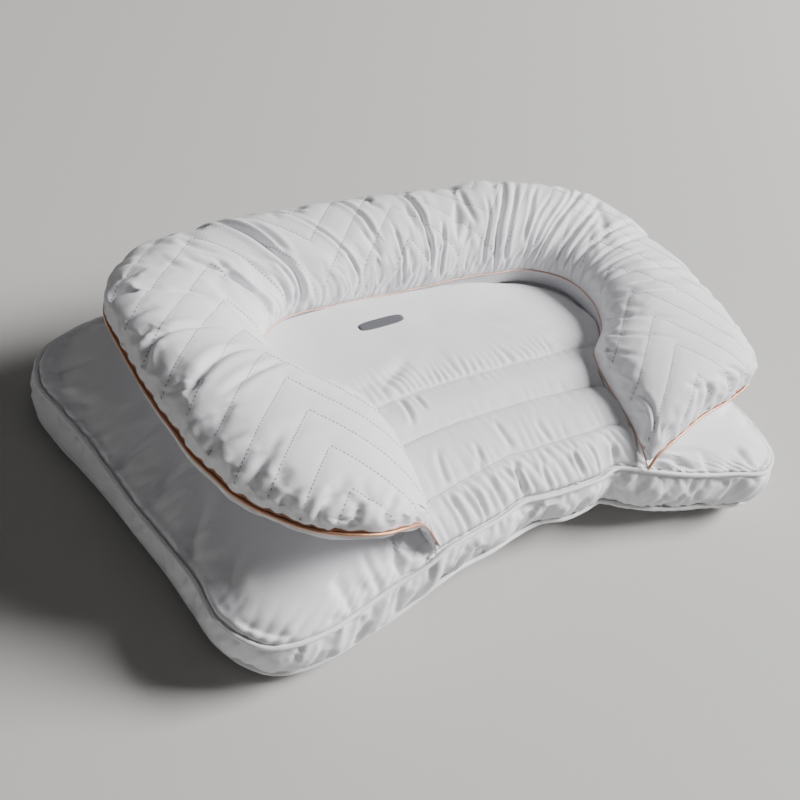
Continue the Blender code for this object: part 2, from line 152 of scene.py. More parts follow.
def make_piece(name, grid, closed_rows=False, closed_columns=False, capped=False):
    """A mesh over a grid of points in millimetres, with a UV map called cloth in metres of fabric.

    capped closes both end rows with triangles round their middle. Faces are turned outwards.
    """
    rows, columns = grid.shape[:2]
    r, c = np.indices((rows if closed_rows else rows - 1, columns if closed_columns else columns - 1))
    r, c = r.reshape(-1, 1) + (0, 0, 1, 1), c.reshape(-1, 1) + (0, 1, 1, 0)
    faces = (r % rows) * columns + c % columns
    points = grid.reshape(-1, 3)
    step_r, step_c = (np.linalg.norm(np.diff(grid, axis=k), axis=2).mean() * MM for k in (0, 1))
    loops, uv = [faces.ravel()], [np.stack([r * step_r, c * step_c], axis=2).reshape(-1, 2)]
    sizes = [np.full(len(faces), 4)]
    if capped:
        points = np.vstack([points, grid[0].mean(axis=0), grid[-1].mean(axis=0)])
        c = np.arange(columns)
        for row, centre in ((0, rows * columns), (rows - 1, rows * columns + 1)):
            ring = row * columns + c
            beside = row * columns + (c + 1) % columns
            first, second = (beside, ring) if row == 0 else (ring, beside)
            loops.append(np.stack([np.full(columns, centre), first, second], axis=1).ravel())
            places = np.stack([np.full(columns, row * step_r), c * step_c], axis=1)
            uv.append(np.repeat(places, 3, axis=0))
            sizes.append(np.full(columns, 3))
    loops, uv, sizes = np.concatenate(loops), np.concatenate(uv), np.concatenate(sizes)
    starts = np.concatenate([[0], np.cumsum(sizes)[:-1]])
    mesh = bpy.data.meshes.new(name)
    mesh.vertices.add(len(points))
    mesh.vertices.foreach_set("co", (points * MM).ravel())
    mesh.loops.add(len(loops))
    mesh.loops.foreach_set("vertex_index", loops.astype(np.int32))
    mesh.polygons.add(len(sizes))
    mesh.polygons.foreach_set("loop_start", starts.astype(np.int32))
    mesh.update(calc_edges=True)
    mesh.uv_layers.new(name="cloth").data.foreach_set("uv", uv.astype(np.float32).ravel())
    if faces_inwards(grid.reshape(-1, 3) - grid.mean(axis=(0, 1)), faces):
        mesh.flip_normals()
    mesh.shade_smooth()
    return add_object(name, mesh)


def points_of(mesh):
    """The points of a mesh, in millimetres."""
    points = np.empty(len(mesh.vertices) * 3, np.float32)
    mesh.vertices.foreach_get("co", points)
    return points.reshape(-1, 3) / MM


def weld(piece):
    """Merge the points that lie on each other, as where an edge is pinched shut."""
    shape = bmesh.new()
    shape.from_mesh(piece.data)
    bmesh.ops.remove_doubles(shape, verts=shape.verts, dist=1e-6)
    bmesh.ops.dissolve_degenerate(shape, edges=shape.edges, dist=1e-6)
    shape.to_mesh(piece.data)
    shape.free()


def finish_piece(piece, material, stands_for=()):
    """Hang a piece on the CAD body, hide the solids it stands for, give it its material and print its
    size.
    """
    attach(piece, "root")
    if stands_for:
        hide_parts(*stands_for)
    piece.data.materials.append(material)
    size = [round(d / MM) for d in piece.dimensions]
    print(piece.name, len(piece.data.polygons), "faces,", size, "mm")


# %% [markdown]
# ## Stuffing
#
# A filled panel is not smooth: its filling presses outwards, the seams hold it, and the spare
# cloth buckles into soft folds. Blender's Cloth finds those folds. The seams are pinned, the cloth
# is cut a little too large (a negative shrink), pressure blows it up, and gravity is off. Most of
# the slow swelling is then taken out with a blur, so that the piece keeps its size.

# %% Stuffing with Cloth
STUFFING_FRAMES, STUFFING_BLUR, SWELL_KEPT = 18, 10, 0.3
STUFFING_SETTINGS = {
    "quality": 5, "mass": 0.2, "tension_stiffness": 12.0, "compression_stiffness": 12.0,
    "shear_stiffness": 4.0, "bending_stiffness": 0.4, "use_pressure": True,
    "uniform_pressure_force": 4.0, "vertex_group_mass": "held",
}


def stuff(name, grid, held, slack, cap):
    """Blow a grid of rings up as cloth and return the grid with the folds that this makes.

    slack is how much too large the cloth is cut. The movement of each point is cut to cap
    millimetres. Its slow part, found with a blur, counts only as far as SWELL_KEPT says.
    """
    rows, columns = grid.shape[:2]
    piece = make_piece(name, grid, closed_columns=True, capped=True)
    end_middles = [rows * columns, rows * columns + 1]
    group = piece.vertex_groups.new(name="held")
    group.add(np.flatnonzero(held.ravel()).tolist() + end_middles, 1.0, "REPLACE")
    modifier = piece.modifiers.new("stuffing", "CLOTH")
    for setting, value in STUFFING_SETTINGS.items():
        setattr(modifier.settings, setting, value)
    modifier.settings.shrink_min = -slack
    modifier.settings.shrink_max = -slack
    modifier.settings.effector_weights.gravity = 0.0
    modifier.collision_settings.use_collision = False
    modifier.point_cache.frame_start = 1
    modifier.point_cache.frame_end = STUFFING_FRAMES
    for number in range(1, STUFFING_FRAMES + 1):
        bpy.context.scene.frame_set(number)
    shaped = piece.evaluated_get(bpy.context.evaluated_depsgraph_get()).data
    moved = points_of(shaped)[:rows * columns].reshape(grid.shape) - grid
    slow = blur(moved, STUFFING_BLUR, False)
    slow = blur(slow.swapaxes(0, 1), STUFFING_BLUR, True).swapaxes(0, 1)
    moved = (moved - slow * (1.0 - SWELL_KEPT)) * ~held[:, :, None]
    size = np.linalg.norm(moved, axis=2, keepdims=True)
    moved = moved * np.minimum(1.0, cap / np.maximum(size, 1e-6))
    bpy.context.scene.frame_set(1)
    mesh = piece.data
    bpy.data.objects.remove(piece)
    bpy.data.meshes.remove(mesh)
    print(f"{name}: folds up to {np.linalg.norm(moved, axis=2).max():.1f} mm")
    return grid + moved


# %% [markdown]
# ## Folds
#
# Cloth that is longer than its seam stands in little puffs with sharp pinches between them. Where
# a stuffed tube bends, long creases run across it. Both are heights over the grid: a gather is an
# uneven row of arches that dies away from its seam, and a crease is a narrow valley with a raised
# lip on each side. Smooth noise bends them, because real creases are never straight.

# %% Gathers and creases
ARCH_ROUNDNESS, ARCH_MIDDLE = 0.8, 0.6
LIP_HEIGHT, LIP_PLACE, LIP_WIDTH = 0.4, 2.2, 1.5
CREASE_BEND_SIZE = 34.0


def gathers(along, away, pitch, reach, seed):
    """Puffs square to a seam, from -0.6 to 0.4: arches |sin|, which meet in sharp valleys.

    along and away are millimetres along the seam and from it. The noise bends the arches, and sets
    how tall each one is and how far it reaches. The height starts at 0 in the seam.
    """
    bend = cloud(along / (2.3 * pitch), away / (5.0 * pitch), seed)
    tall = 0.6 + 0.5 * cloud(along / (1.4 * pitch), 0.5, seed + 1)
    far = reach * (1.0 + 0.6 * cloud(along / (0.9 * pitch), 3.5, seed + 2))
    arch = np.abs(np.sin(np.pi * along / pitch + 2.6 * bend))**ARCH_ROUNDNESS - ARCH_MIDDLE
    return arch * tall * bell(away, far) * (1.0 - np.exp(-away / 3.0))


def crease(along, across, line):
    """One crease over a flat grid in millimetres: a valley along a bowed line, with raised lips.

    line is start along, start across, end along, end across, bow, half width and depth. The valley
    is depth*exp(-|d|/width) at a distance d from the line, and it runs out at both ends.
    """
    x0, y0, x1, y1, bow, width, depth = line
    run_x, run_y = x1 - x0, y1 - y0
    length = math.hypot(run_x, run_y)
    t = ((along - x0) * run_x + (across - y0) * run_y) / length**2
    off = ((across - y0) * run_x - (along - x0) * run_y) / length - bow * 4.0 * t * (1.0 - t)
    ends = step_up(t, -0.12, 0.25) * (1.0 - step_up(t, 0.7, 1.12))
    valley = np.exp(-np.sqrt((off / width)**2 + 0.03))
    lips = bell(np.abs(off), LIP_WIDTH * width, LIP_PLACE * width)
    return depth * ends * (LIP_HEIGHT * lips - valley)


def creases(along, across, lines, bend=3.0, seed=71):
    """The sum of a table of creases, over a grid that smooth noise bends by a few millimetres."""
    place = (along / CREASE_BEND_SIZE, across / CREASE_BEND_SIZE)
    bent_along = along + bend * cloud(*place, seed)
    bent_across = across + bend * cloud(*place, seed + 1)
    return sum(crease(bent_along, bent_across, line) for line in lines)


# %% [markdown]
# ## The base cushion
#
# A top and a bottom panel are joined by a side band, the gusset, with a piped seam at each edge.
# The filling draws the sides in between the corners, and the neck of the pad pulls the middle of
# the front edge in and up. Rings carry the outline inwards over the top and under the bottom, so
# one grid covers the whole cushion.

# %% Sizes of the base
# All sizes are in millimetres.
BASE_SEAMS = np.array([  # top seam x, y, z and bottom seam x, y, z, from the right side round the back
    (360, 0, 76, 360, 0, 24), (365, 100, 75, 365, 100, 22), (361, 160, 75, 361, 160, 22),
    (340, 208, 74, 340, 208, 22), (292, 232, 73, 292, 232, 20), (150, 229, 72, 150, 229, 20),
    (0, 227, 70, 0, 227, 18), (-150, 229, 66, -150, 229, 16), (-290, 229, 59, -290, 229, 11),
    (-352, 216, 53, -350, 216, 9), (-396, 190, 51, -393, 190, 8), (-411, 152, 52, -408, 150, 8),
    (-403, 105, 54, -401, 102, 8), (-393, 60, 56, -388, 57, 8), (-385, 8, 58, -376, 8, 8),
    (-378, -39, 60, -367, -38, 9), (-368, -90, 63, -357, -88, 10), (-360, -138, 67, -351, -136, 12),
    (-358, -187, 70, -344, -180, 13), (-347, -210, 72, -330, -207, 14), (-331, -227, 73, -310, -224, 14),
    (-306, -234, 74, -284, -231, 16), (-270, -233, 75, -254, -230, 18), (-229, -223, 77, -221, -224, 20),
    (-187, -213, 82, -185, -218, 26), (-153, -208, 88, -150, -211, 34), (-128, -201, 95, -126, -206, 42),
    (-90, -194, 98, -93, -198, 45), (-53, -187, 98, -48, -191, 45), (-16, -177, 98, -10, -182, 45),
    (13, -179, 98, 27, -176, 45), (56, -179, 98, 60, -181, 45), (90, -177, 98, 92, -178, 45),
    (117, -171, 99, 118, -174, 45), (140, -179, 98, 141, -185, 43), (170, -191, 96, 171, -197, 40),
    (220, -205, 90, 220, -208, 35), (274, -216, 86, 270, -216, 32), (320, -224, 83, 318, -225, 30),
    (350, -206, 81, 350, -208, 28), (365, -160, 79, 365, -162, 26), (363, -90, 77, 363, -90, 25),
], dtype=float)
DECK_Z, DECK_SHARE = 99.0, 0.66
GUSSET_BULGE, GUSSET_ROUNDNESS, SEAM_NOTCH, NOTCH_STEEPNESS = 6.0, 0.6, 3.0, 40.0
FIRST_RING_SHARE, RING_CROWDING = 0.3, 1.25
SAG_ROUNDNESS, FULL_ROUNDNESS = 1.2, 2.0
FLAT_SEAM_Z, HOLLOW_SEAM_Z = 22.0, 45.0
SAG_SEAM_Z, FULL_SEAM_Z = 52.0, 75.0
WHITE_CORD_RADIUS, WHITE_CORD_PROUD = 2.5, 0.8
BASE_STATIONS = 440
BASE_TOP_RINGS, GUSSET_RINGS = 34, 12
SOLE_LIP, SOLE_WIDTH = 4.8, 90.0
SOLE_RINGS = np.array([  # distance in from the seam, share of the height left, share of the lip
    (3, 1, 0), (0.5, 1, 0.55), (0, 1, 1), (2, 0.72, 1), (6, 0.4, 1), (16, 0.15, 1), (34, 0, 1),
    (60, 0, 1), (90, 0, 1),
], dtype=float)


def base_seams(count):
    """Evenly spaced points of both seams round the base, and the outward directions in plan.

    The curve through the table's rows is closed by repeating rows of the other end at each end.
    """
    rows = np.concatenate([BASE_SEAMS[-3:], BASE_SEAMS, BASE_SEAMS[:4]])
    knots = knots_of(rows)
    at = knots[3] + np.arange(count) / count * (knots[-4] - knots[3])
    seams = hermite(knots, rows, at)
    ahead = np.roll(seams[:, 0:2], -1, 0) - np.roll(seams[:, 0:2], 1, 0)
    outward = np.stack([ahead[:, 1], -ahead[:, 0], np.zeros(count)], axis=1)
    return seams[:, 0:3], seams[:, 3:6], outward / np.linalg.norm(outward, axis=1)[:, None]


# %% The base as a grid
def base_grid():
    """Rings over the base's top from its middle to the seam, down the gusset and under the sole.

    The top falls from the deck to the seam as a rounded step, softer where the corner sags. The
    gusset bulges as a power of a sine. The sole is flat, and rises to the raised seam in front.
    """
    top, bottom, outward = base_seams(BASE_STATIONS)
    spread = 1.0 - (1.0 - np.linspace(0.0, 1.0, BASE_TOP_RINGS + 1))**RING_CROWDING
    share = FIRST_RING_SHARE + (1.0 - FIRST_RING_SHARE) * spread[:, None]
    fall = np.clip((share - DECK_SHARE) / (1.0 - DECK_SHARE), 0.0, 1.0)
    fuller = (FULL_ROUNDNESS - SAG_ROUNDNESS) * step_up(top[:, 2], SAG_SEAM_Z, FULL_SEAM_Z)
    roundness = SAG_ROUNDNESS + fuller
    crown = top[None, :, :] * share[:, :, None]
    notch = SEAM_NOTCH * np.maximum(0.0, 1.0 - (1.0 - share) * NOTCH_STEEPNESS)
    crown = crown - outward * notch[:, :, None]
    crown[:, :, 2] = top[:, 2] + (DECK_Z - top[:, 2]) * (1.0 - fall**roundness)**(1.0 / roundness)
    down = (np.arange(1, GUSSET_RINGS) / GUSSET_RINGS)[:, None, None]
    out = (GUSSET_BULGE + SEAM_NOTCH) * np.sin(np.pi * down)**GUSSET_ROUNDNESS - SEAM_NOTCH
    gusset = top + (bottom - top) * down + outward * out
    hollow = step_up(bottom[:, 2], FLAT_SEAM_Z, HOLLOW_SEAM_Z)
    inset, height, lip = SOLE_RINGS[:, 0:1], SOLE_RINGS[:, 1:2], SOLE_RINGS[:, 2:3]
    sole = bottom - outward * inset[:, :, None]
    left = height * (1.0 - hollow) + (1.0 - inset / SOLE_WIDTH) * hollow
    sole[:, :, 2] = (bottom[:, 2] - SOLE_LIP * lip) * left
    return np.concatenate([crown, gusset, sole])


base = base_grid()
TOP_SEAM_RING, BOTTOM_SEAM_RING = BASE_TOP_RINGS, BASE_TOP_RINGS + GUSSET_RINGS
print("base grid", base.shape[:2], "points")

# %% [markdown]
# The gusset has slanting wrinkles between its seams, most of them in front, where the neck pulls
# it up. Soft folds run out over the top from under the horseshoe, and the cloth is gathered at the
# piping. Both seams, the middle of the top and the sole are held while the base is stuffed.

# %% Folds of the base
# start x, y; end x, y; bow, half width, depth (mm)
BASE_FOLDS = [
    (-385, 7, -325, 42, 3, 7, 8), (-377, -45, -312, 5, -4, 6.5, 8.5),
    (-363, -128, -318, -62, 4, 6.5, 8.5), (-346, -170, -312, -128, 2, 6, 5),
    (-400, 118, -372, 92, 2, 5, 3), (-390, 40, -372, 46, 1, 4, 2.5), (-402, 160, -352, 150, -3, 7, 3.5),
    (-180, -214, -176, -168, 2, 4, 4), (-205, -219, -214, -180, 2, 3.5, 3),
    (-243, -228, -250, -196, -2, 4, 2.5), (160, -176, 186, -196, 1, 3, 4.5),
    (166, -166, 214, -196, 2, 3.5, 5), (180, -160, 236, -180, -2, 4, 4),
    (240, -214, 236, -180, 1.5, 4, 3), (300, -220, 290, -190, 1.5, 4.5, 3),
    (345, -130, 310, -140, 2, 5, 3), (362, -20, 330, -26, 1.5, 6, 3.5), (362, 90, 330, 80, 2, 6, 3.5),
    (250, 230, 240, 200, 2, 6, 3.5), (90, 226, 84, 196, -2, 6, 3.5), (-80, 227, -70, 196, 2, 6, 3.5),
    (-230, 229, -215, 200, -2, 6, 3.5),
]
BASE_SLACK, BASE_FOLD_CAP = 0.03, 2.6
HELD_RINGS, HELD_SOLE_RING = 8, BOTTOM_SEAM_RING + 3
EDGE_SWELL, SWELL_PLACE, SWELL_WIDTH = 2.2, 5.0, 3.5
TOP_SLANT, FOOT_SLANT = 0.45, 0.4
LONG_FOLDS, SOLE_GATHERS, SOLE_LEAST_Z = 2.5, 2.4, 3.0
FRONT_Y, FULL_FRONT_Y = 140.0, 180.0

ring = np.arange(len(base))[:, None]
held = (ring <= HELD_RINGS) | (ring == TOP_SEAM_RING) | (ring >= HELD_SOLE_RING)
held = np.broadcast_to(held | (ring == BOTTOM_SEAM_RING), base.shape[:2])
base = refine_both(stuff("base_stuffing", base, held, BASE_SLACK, BASE_FOLD_CAP))
ring = np.arange(len(base))[:, None] / 2.0
seam = base[2 * TOP_SEAM_RING]
along = np.cumsum(np.linalg.norm(seam - np.roll(seam, 1, 0), axis=1))[None, :]
from_top = np.cumsum(np.linalg.norm(np.diff(base, axis=0, prepend=base[:1]), axis=2), axis=0)
from_top = from_top - from_top[2 * TOP_SEAM_RING]
gusset_tall = from_top[2 * BOTTOM_SEAM_RING]
from_bottom = from_top - gusset_tall
away, away_bottom = np.abs(from_top), np.abs(from_bottom)
on_top = (ring <= TOP_SEAM_RING).astype(float)
on_gusset = ((ring > TOP_SEAM_RING) & (ring < BOTTOM_SEAM_RING)).astype(float)
on_sole = (ring >= BOTTOM_SEAM_RING).astype(float)
lift = step_up(seam[:, 2], FULL_SEAM_Z, DECK_Z)[None, :]
in_front = step_up(-seam[:, 1], FRONT_Y, FULL_FRONT_Y)[None, :]
slant = along + TOP_SLANT * from_top
between = np.clip(from_top / gusset_tall, 0.0, 1.0)
# Each line adds one kind of fold: where it is, how deep in mm, and how much deeper in front.
side_folds = cloud(slant / 15.0, from_top / 80.0, 5) + 0.7 * cloud(slant / 7.0, from_top / 55.0, 6)
height = on_gusset * (1.5 + 1.5 * in_front) * side_folds * np.sin(np.pi * between)**0.7
height += on_gusset * (2.0 + 1.6 * in_front) * gathers(slant, away, 13.0, 17.0, 11)
slant = along - FOOT_SLANT * from_bottom
height += on_gusset * (1.2 + 1.0 * in_front) * gathers(slant, away_bottom, 15.0, 15.0, 14)
height += on_top * (1.8 + 1.2 * lift + 0.8 * in_front) * gathers(along, away, 17.0, 26.0, 17)
height += on_top * EDGE_SWELL * bell(away, SWELL_WIDTH, SWELL_PLACE)
height += on_top * creases(base[:, :, 0], base[:, :, 1], BASE_FOLDS) * step_up(away, 0.0, 8.0)
long_folds = cloud(base[:, :, 0] / 60.0 + base[:, :, 1] / 150.0, base[:, :, 1] / 70.0, 21)
height += on_top * LONG_FOLDS * long_folds * step_up(away, 4.0, 40.0) * step_up(ring, 16.0, 24.0)
sole_gathers = on_sole * SOLE_GATHERS * gathers(along, away_bottom, 19.0, 18.0, 25)
height += sole_gathers * (base[:, :, 2] > SOLE_LEAST_Z)
base = base + height[:, :, None] * normals_of(base)
base[:, :, 2] = np.where(on_sole > 0, np.maximum(base[:, :, 2], 0.0), base[:, :, 2])
base_pillow = make_piece("base_pillow_cloth", base, closed_columns=True, capped=True)

# %% [markdown]
# ## White piping
#
# Piping is a cord wrapped in a folded strip of cotton and caught in the seam. It is a circle
# carried along the seam line. Its size wavers a little, because the strip is never quite even.

# %% Piping along a line
CORD_WAVER = 0.08


def piping_grid(centres, outward, radius, sides):
    """Circles round each centre, in the plane of its outward direction and up."""
    angle = np.arange(sides) / sides * 2.0 * np.pi
    reach = np.cumsum(np.linalg.norm(np.diff(centres, axis=0, prepend=centres[:1]), axis=1))
    size = radius * (1.0 + CORD_WAVER * cloud(reach / 5.0, 0.5, 31))[:, None, None]
    circle = outward[:, None, :] * np.cos(angle)[None, :, None] + UP * np.sin(angle)[None, :, None]
    return centres[:, None, :] + size * circle


def base_piping(name, seam):
    """A white cord in the base's top seam (0) or bottom seam (1), a little proud of it."""
    lines = base_seams(2 * BASE_STATIONS)
    centres = lines[seam] + WHITE_CORD_PROUD * lines[2]
    cord = piping_grid(centres, lines[2], WHITE_CORD_RADIUS, 10)
    return make_piece(name, cord, closed_rows=True, closed_columns=True)


piping_top = base_piping("base_piping_top_cloth", 0)
piping_bottom = base_piping("base_piping_bottom_cloth", 1)

# %% [markdown]
# ## The horseshoe
#
# The horseshoe is one long stuffed tube: a quilted top panel and a plain underside, sewn together
# along an outer and an inner seam, with a narrow upright facing where it joins the pad. A table
# gives both seams, the crown's height and the belly's depth at 23 places from the left tip round
# the back to the right tip, and a round section is carried through them.

# %% Sizes of the horseshoe
# inner seam x, y, z; outer seam x, y, z; crown's height, belly's depth (mm)
HORSESHOE_SECTIONS = np.array([
    (-148, -184, 112, -150, -191, 120, 4, 2), (-148, -174, 119, -174, -197, 149, 18, 8),
    (-149, -155, 127, -224, -207, 168, 32, 13), (-150, -124, 134, -276, -191, 172, 43, 16),
    (-152, -88, 139, -324, -148, 173, 50, 18), (-164, -50, 142, -350, -88, 174, 52, 20),
    (-200, -16, 143, -360, -22, 174, 52, 20), (-220, 26, 140, -364, 48, 173, 50, 20),
    (-214, 68, 139, -360, 116, 168, 48, 20), (-176, 96, 139, -322, 178, 158, 50, 20),
    (-100, 104, 140, -214, 214, 153, 56, 20), (0, 107, 142, 0, 224, 154, 58, 20),
    (100, 107, 147, 206, 220, 154, 58, 20), (168, 98, 149, 306, 178, 150, 56, 20),
    (206, 68, 149, 352, 100, 143, 54, 20), (213, 26, 147, 370, 30, 138, 54, 20),
    (196, -14, 143, 374, -34, 134, 54, 20), (162, -46, 139, 372, -88, 131, 52, 18),
    (152, -84, 136, 350, -126, 131, 48, 16), (150, -118, 131, 294, -146, 132, 42, 14),
    (149, -146, 125, 236, -158, 132, 32, 11), (148, -164, 119, 190, -172, 128, 18, 7),
    (148, -178, 112, 151, -182, 114, 4, 2),
], dtype=float)
HORSESHOE_STATIONS = 320
CROWN_COLUMNS, BELLY_COLUMNS, FACING_COLUMNS = 44, 22, 4
FACING_DEPTH, FACING_SHARE = 16.0, 0.2
CROWN_SWELL, CROWN_ROUNDNESS = 0.22, 0.85
BELLY_SWELL, BELLY_ROUNDNESS = 0.26, 0.6
SEAM_WAVER = 1.8


def horseshoe_stations(count):
    """Evenly spaced sections from the table, whose outer seam wavers a little, and the length."""
    knots = knots_of(HORSESHOE_SECTIONS)
    at = np.linspace(0.0, knots[-1], count)
    rows = hermite(knots, HORSESHOE_SECTIONS, at)
    rows[:, 5] += SEAM_WAVER * (cloud(at / 24.0, 0.5, 81) + 0.5 * cloud(at / 11.0, 0.5, 82))
    return rows, knots[-1]


def horseshoe_grid():
    """Sections of the horseshoe: over the crown, back under the belly, and up the inner facing.

    The crown rises as a power of a sine above the line between its seams, and swells a little past
    them. The belly hangs below that line, fullest at the outer seam, down to the facing's foot.
    """
    rows, length = horseshoe_stations(HORSESHOE_STATIONS)
    inner, outer, crown, belly = rows[:, 0:3], rows[:, 3:6], rows[:, 6], rows[:, 7]
    chord = outer - inner
    depth = np.minimum(FACING_DEPTH, np.linalg.norm(chord, axis=1) * FACING_SHARE)
    turn = np.pi * np.arange(CROWN_COLUMNS + 1) / CROWN_COLUMNS
    across = (1.0 - np.cos(turn) * (1.0 + CROWN_SWELL * np.sin(turn))) / 2
    rise = crown[:, None] * np.maximum(np.sin(turn), 0.0)[None, :]**CROWN_ROUNDNESS
    top = inner[:, None, :] + chord[:, None, :] * across[None, :, None] + rise[:, :, None] * UP
    turn = np.pi * (1.0 - np.arange(1, BELLY_COLUMNS + 1) / (BELLY_COLUMNS + 1))
    outer_half = turn > np.pi / 2
    across = (1.0 - np.cos(turn) * (1.0 + BELLY_SWELL * outer_half * np.sin(turn))) / 2
    full = np.where(outer_half, np.sin(turn)**BELLY_ROUNDNESS, np.sin(turn))
    drop = belly[:, None] * full[None, :] + depth[:, None] * step_up(1.0 - across)[None, :]
    sole = inner[:, None, :] + chord[:, None, :] * across[None, :, None] - drop[:, :, None] * UP
    down = 1.0 - np.arange(FACING_COLUMNS) / FACING_COLUMNS
    facing = inner[:, None, :] - (depth[:, None] * down[None, :])[:, :, None] * UP
    return np.concatenate([top, sole, facing], axis=1), length


horseshoe, HORSESHOE_LENGTH = horseshoe_grid()
print("horseshoe grid", horseshoe.shape[:2], "points,", round(HORSESHOE_LENGTH), "mm long")

# %% Stuff the horseshoe
HELD_ENDS, HORSESHOE_SLACK, HORSESHOE_FOLD_CAP = 3, 0.025, 2.2
column = np.arange(horseshoe.shape[1])[None, :]
row = np.arange(HORSESHOE_STATIONS)[:, None]
held = (column == 0) | (column == CROWN_COLUMNS) | (column > CROWN_COLUMNS + BELLY_COLUMNS)
held = held | (row < HELD_ENDS) | (row >= HORSESHOE_STATIONS - HELD_ENDS)
horseshoe = stuff("horseshoe_stuffing", horseshoe, held, HORSESHOE_SLACK, HORSESHOE_FOLD_CAP)
horseshoe = refine_both(horseshoe)

# %% [markdown]
# The tube is bent hardest round the two back corners of the head panel, where creases fan out
# from the inner seam. Others cross the arms from the outer seam. A table gives each one's ends, so
# that they fall unevenly as on real cloth, and small gathers fill the seams between them.

# %% Creases of the horseshoe
CROWN_WIDTH, TIP_LENGTH = 200.0, 40.0
LEFT_BEND, LEFT_BEND_SPREAD, RIGHT_BEND, RIGHT_BEND_SPREAD = 0.33, 0.06, 0.72, 0.11
INNER_GATHERS, BENT_GATHERS, OUTER_GATHERS, ARM_GATHERS = 0.9, 1.9, 2.0, 1.8
# start: thousandths along, hundredths across; end: the same; bow, half width, depth (mm)
HORSESHOE_CREASES = [
    (385, 74, 337, 2, -3, 3.4, 7), (388, 62, 366, 40, 2, 2.6, 5), (350, 38, 328, 3, 2, 2.4, 4.5),
    (334, 30, 315, 3, 2, 2.2, 3.5), (310, 55, 288, 6, 4, 3.2, 6.5), (320, 48, 300, 30, -2, 2.4, 5),
    (299, 90, 304, 70, 2, 3, 3.5), (267, 92, 269, 66, 3, 3, 5), (250, 92, 250, 64, -3, 3.2, 4.5),
    (208, 92, 230, 46, 5, 3.2, 5.5), (218, 88, 220, 70, 2, 2.8, 5), (172, 78, 205, 40, 4, 3, 5.5),
    (162, 68, 188, 36, -3, 3, 3.5), (184, 90, 176, 68, -2, 2.6, 3.5), (160, 92, 152, 66, 2, 2.6, 4),
    (138, 93, 130, 70, 2, 2.6, 4), (111, 95, 113, 68, -3, 3, 5), (120, 95, 122, 76, 2, 2.6, 4),
    (88, 97, 87, 76, 2, 2.8, 5), (70, 97, 71, 68, 2, 3, 6), (79, 97, 79, 78, -1, 2.2, 4),
    (56, 96, 60, 70, -2, 2.4, 4.5), (40, 92, 46, 55, 2, 2.4, 4.5), (30, 90, 34, 60, 1, 2, 3),
    (420, 60, 412, 10, 3, 2.4, 3), (468, 68, 462, 36, 3, 2.6, 4.5), (490, 45, 486, 5, -2, 2.2, 2.5),
    (520, 70, 528, 12, 4, 2.6, 6), (545, 40, 550, 4, 2, 2.2, 3), (572, 62, 592, 34, -3, 2.8, 3.5),
    (600, 52, 618, 8, 2, 2.2, 4), (616, 70, 638, 4, -5, 3, 5.5), (628, 66, 656, 4, -5, 2.6, 4.5),
    (648, 62, 667, 20, -2, 2.2, 4.5), (666, 52, 678, 6, -3, 2.4, 4.5), (682, 68, 687, 14, 2, 2.2, 5),
    (690, 78, 697, 3, -3, 3, 6.5), (706, 72, 726, 4, -4, 2.8, 5), (716, 52, 736, 6, 2, 2, 4.5),
    (738, 66, 748, 3, -2, 2.8, 4.5), (758, 58, 760, 2, 3, 2.6, 4), (776, 50, 772, 4, 2, 2.2, 4.5),
    (797, 64, 785, 3, 4, 2.8, 4.5), (812, 45, 796, 4, 2, 2, 3.5), (830, 58, 807, 3, 4, 2.8, 4.5),
    (866, 52, 822, 3, 5, 2.8, 3.5), (884, 44, 850, 5, 3, 2, 3.5), (935, 20, 982, 34, 3, 3.2, 2),
    (900, 30, 870, 12, 2, 3, 2), (938, 48, 968, 76, 2, 2.8, 3), (940, 58, 958, 88, -2, 2.8, 3.5),
    (930, 70, 938, 92, 1, 2.6, 3), (914, 62, 926, 92, 2, 2.8, 3.5), (890, 78, 893, 95, 1, 2.6, 4),
    (860, 80, 858, 95, 1, 3, 3.5),
]
stations, columns = horseshoe.shape[:2]
along = np.linspace(0.0, 1.0, stations)[:, None] * HORSESHOE_LENGTH
turn = np.clip(np.arange(columns) / (2.0 * CROWN_COLUMNS), 0.0, 1.0)[None, :]
across = turn * CROWN_WIDTH
from_outer = CROWN_WIDTH - across
on_crown = ((turn < 1.0) & (turn > 0.0)).astype(float)
sewn = np.clip(np.minimum(across, from_outer) / 10.0, 0.0, 1.0)
shares = np.array(HORSESHOE_CREASES) / (1000, 100, 1000, 100, 1, 1, 1)
lines = shares * (HORSESHOE_LENGTH, CROWN_WIDTH, HORSESHOE_LENGTH, CROWN_WIDTH, 1, 1, 1)
height = creases(along, across, lines) * on_crown * sewn**0.5
place = along / HORSESHOE_LENGTH
bent = bell(place, LEFT_BEND_SPREAD, LEFT_BEND) + bell(place, RIGHT_BEND_SPREAD, RIGHT_BEND)
arms = step_up(np.abs(place - 0.5), 0.3, 0.4)
height += on_crown * (INNER_GATHERS + BENT_GATHERS * bent) * gathers(along, across, 11.0, 38.0, 41)
height += on_crown * (OUTER_GATHERS + ARM_GATHERS * arms) * gathers(along, from_outer, 11.0, 25.0, 44)
height += on_crown * 1.6 * cloud(along / 46.0, across / 80.0, 47) * sewn
height += on_crown * cloud(along / 17.0, across / 60.0, 48) * sewn * (0.4 + bent)
height *= np.clip(np.minimum(along, HORSESHOE_LENGTH - along) / TIP_LENGTH, 0.0, 1.0)

# %% [markdown]
# ## Quilting
#
# The top panel is stitched through thin wadding in a herringbone of straight lines at 45 degrees,
# which fall to the right in one column of cloth and rise in the next. The thread pulls the cloth
# down beside each line. It is a row of short grey stitches, laid where a ray from above meets the
# cloth.

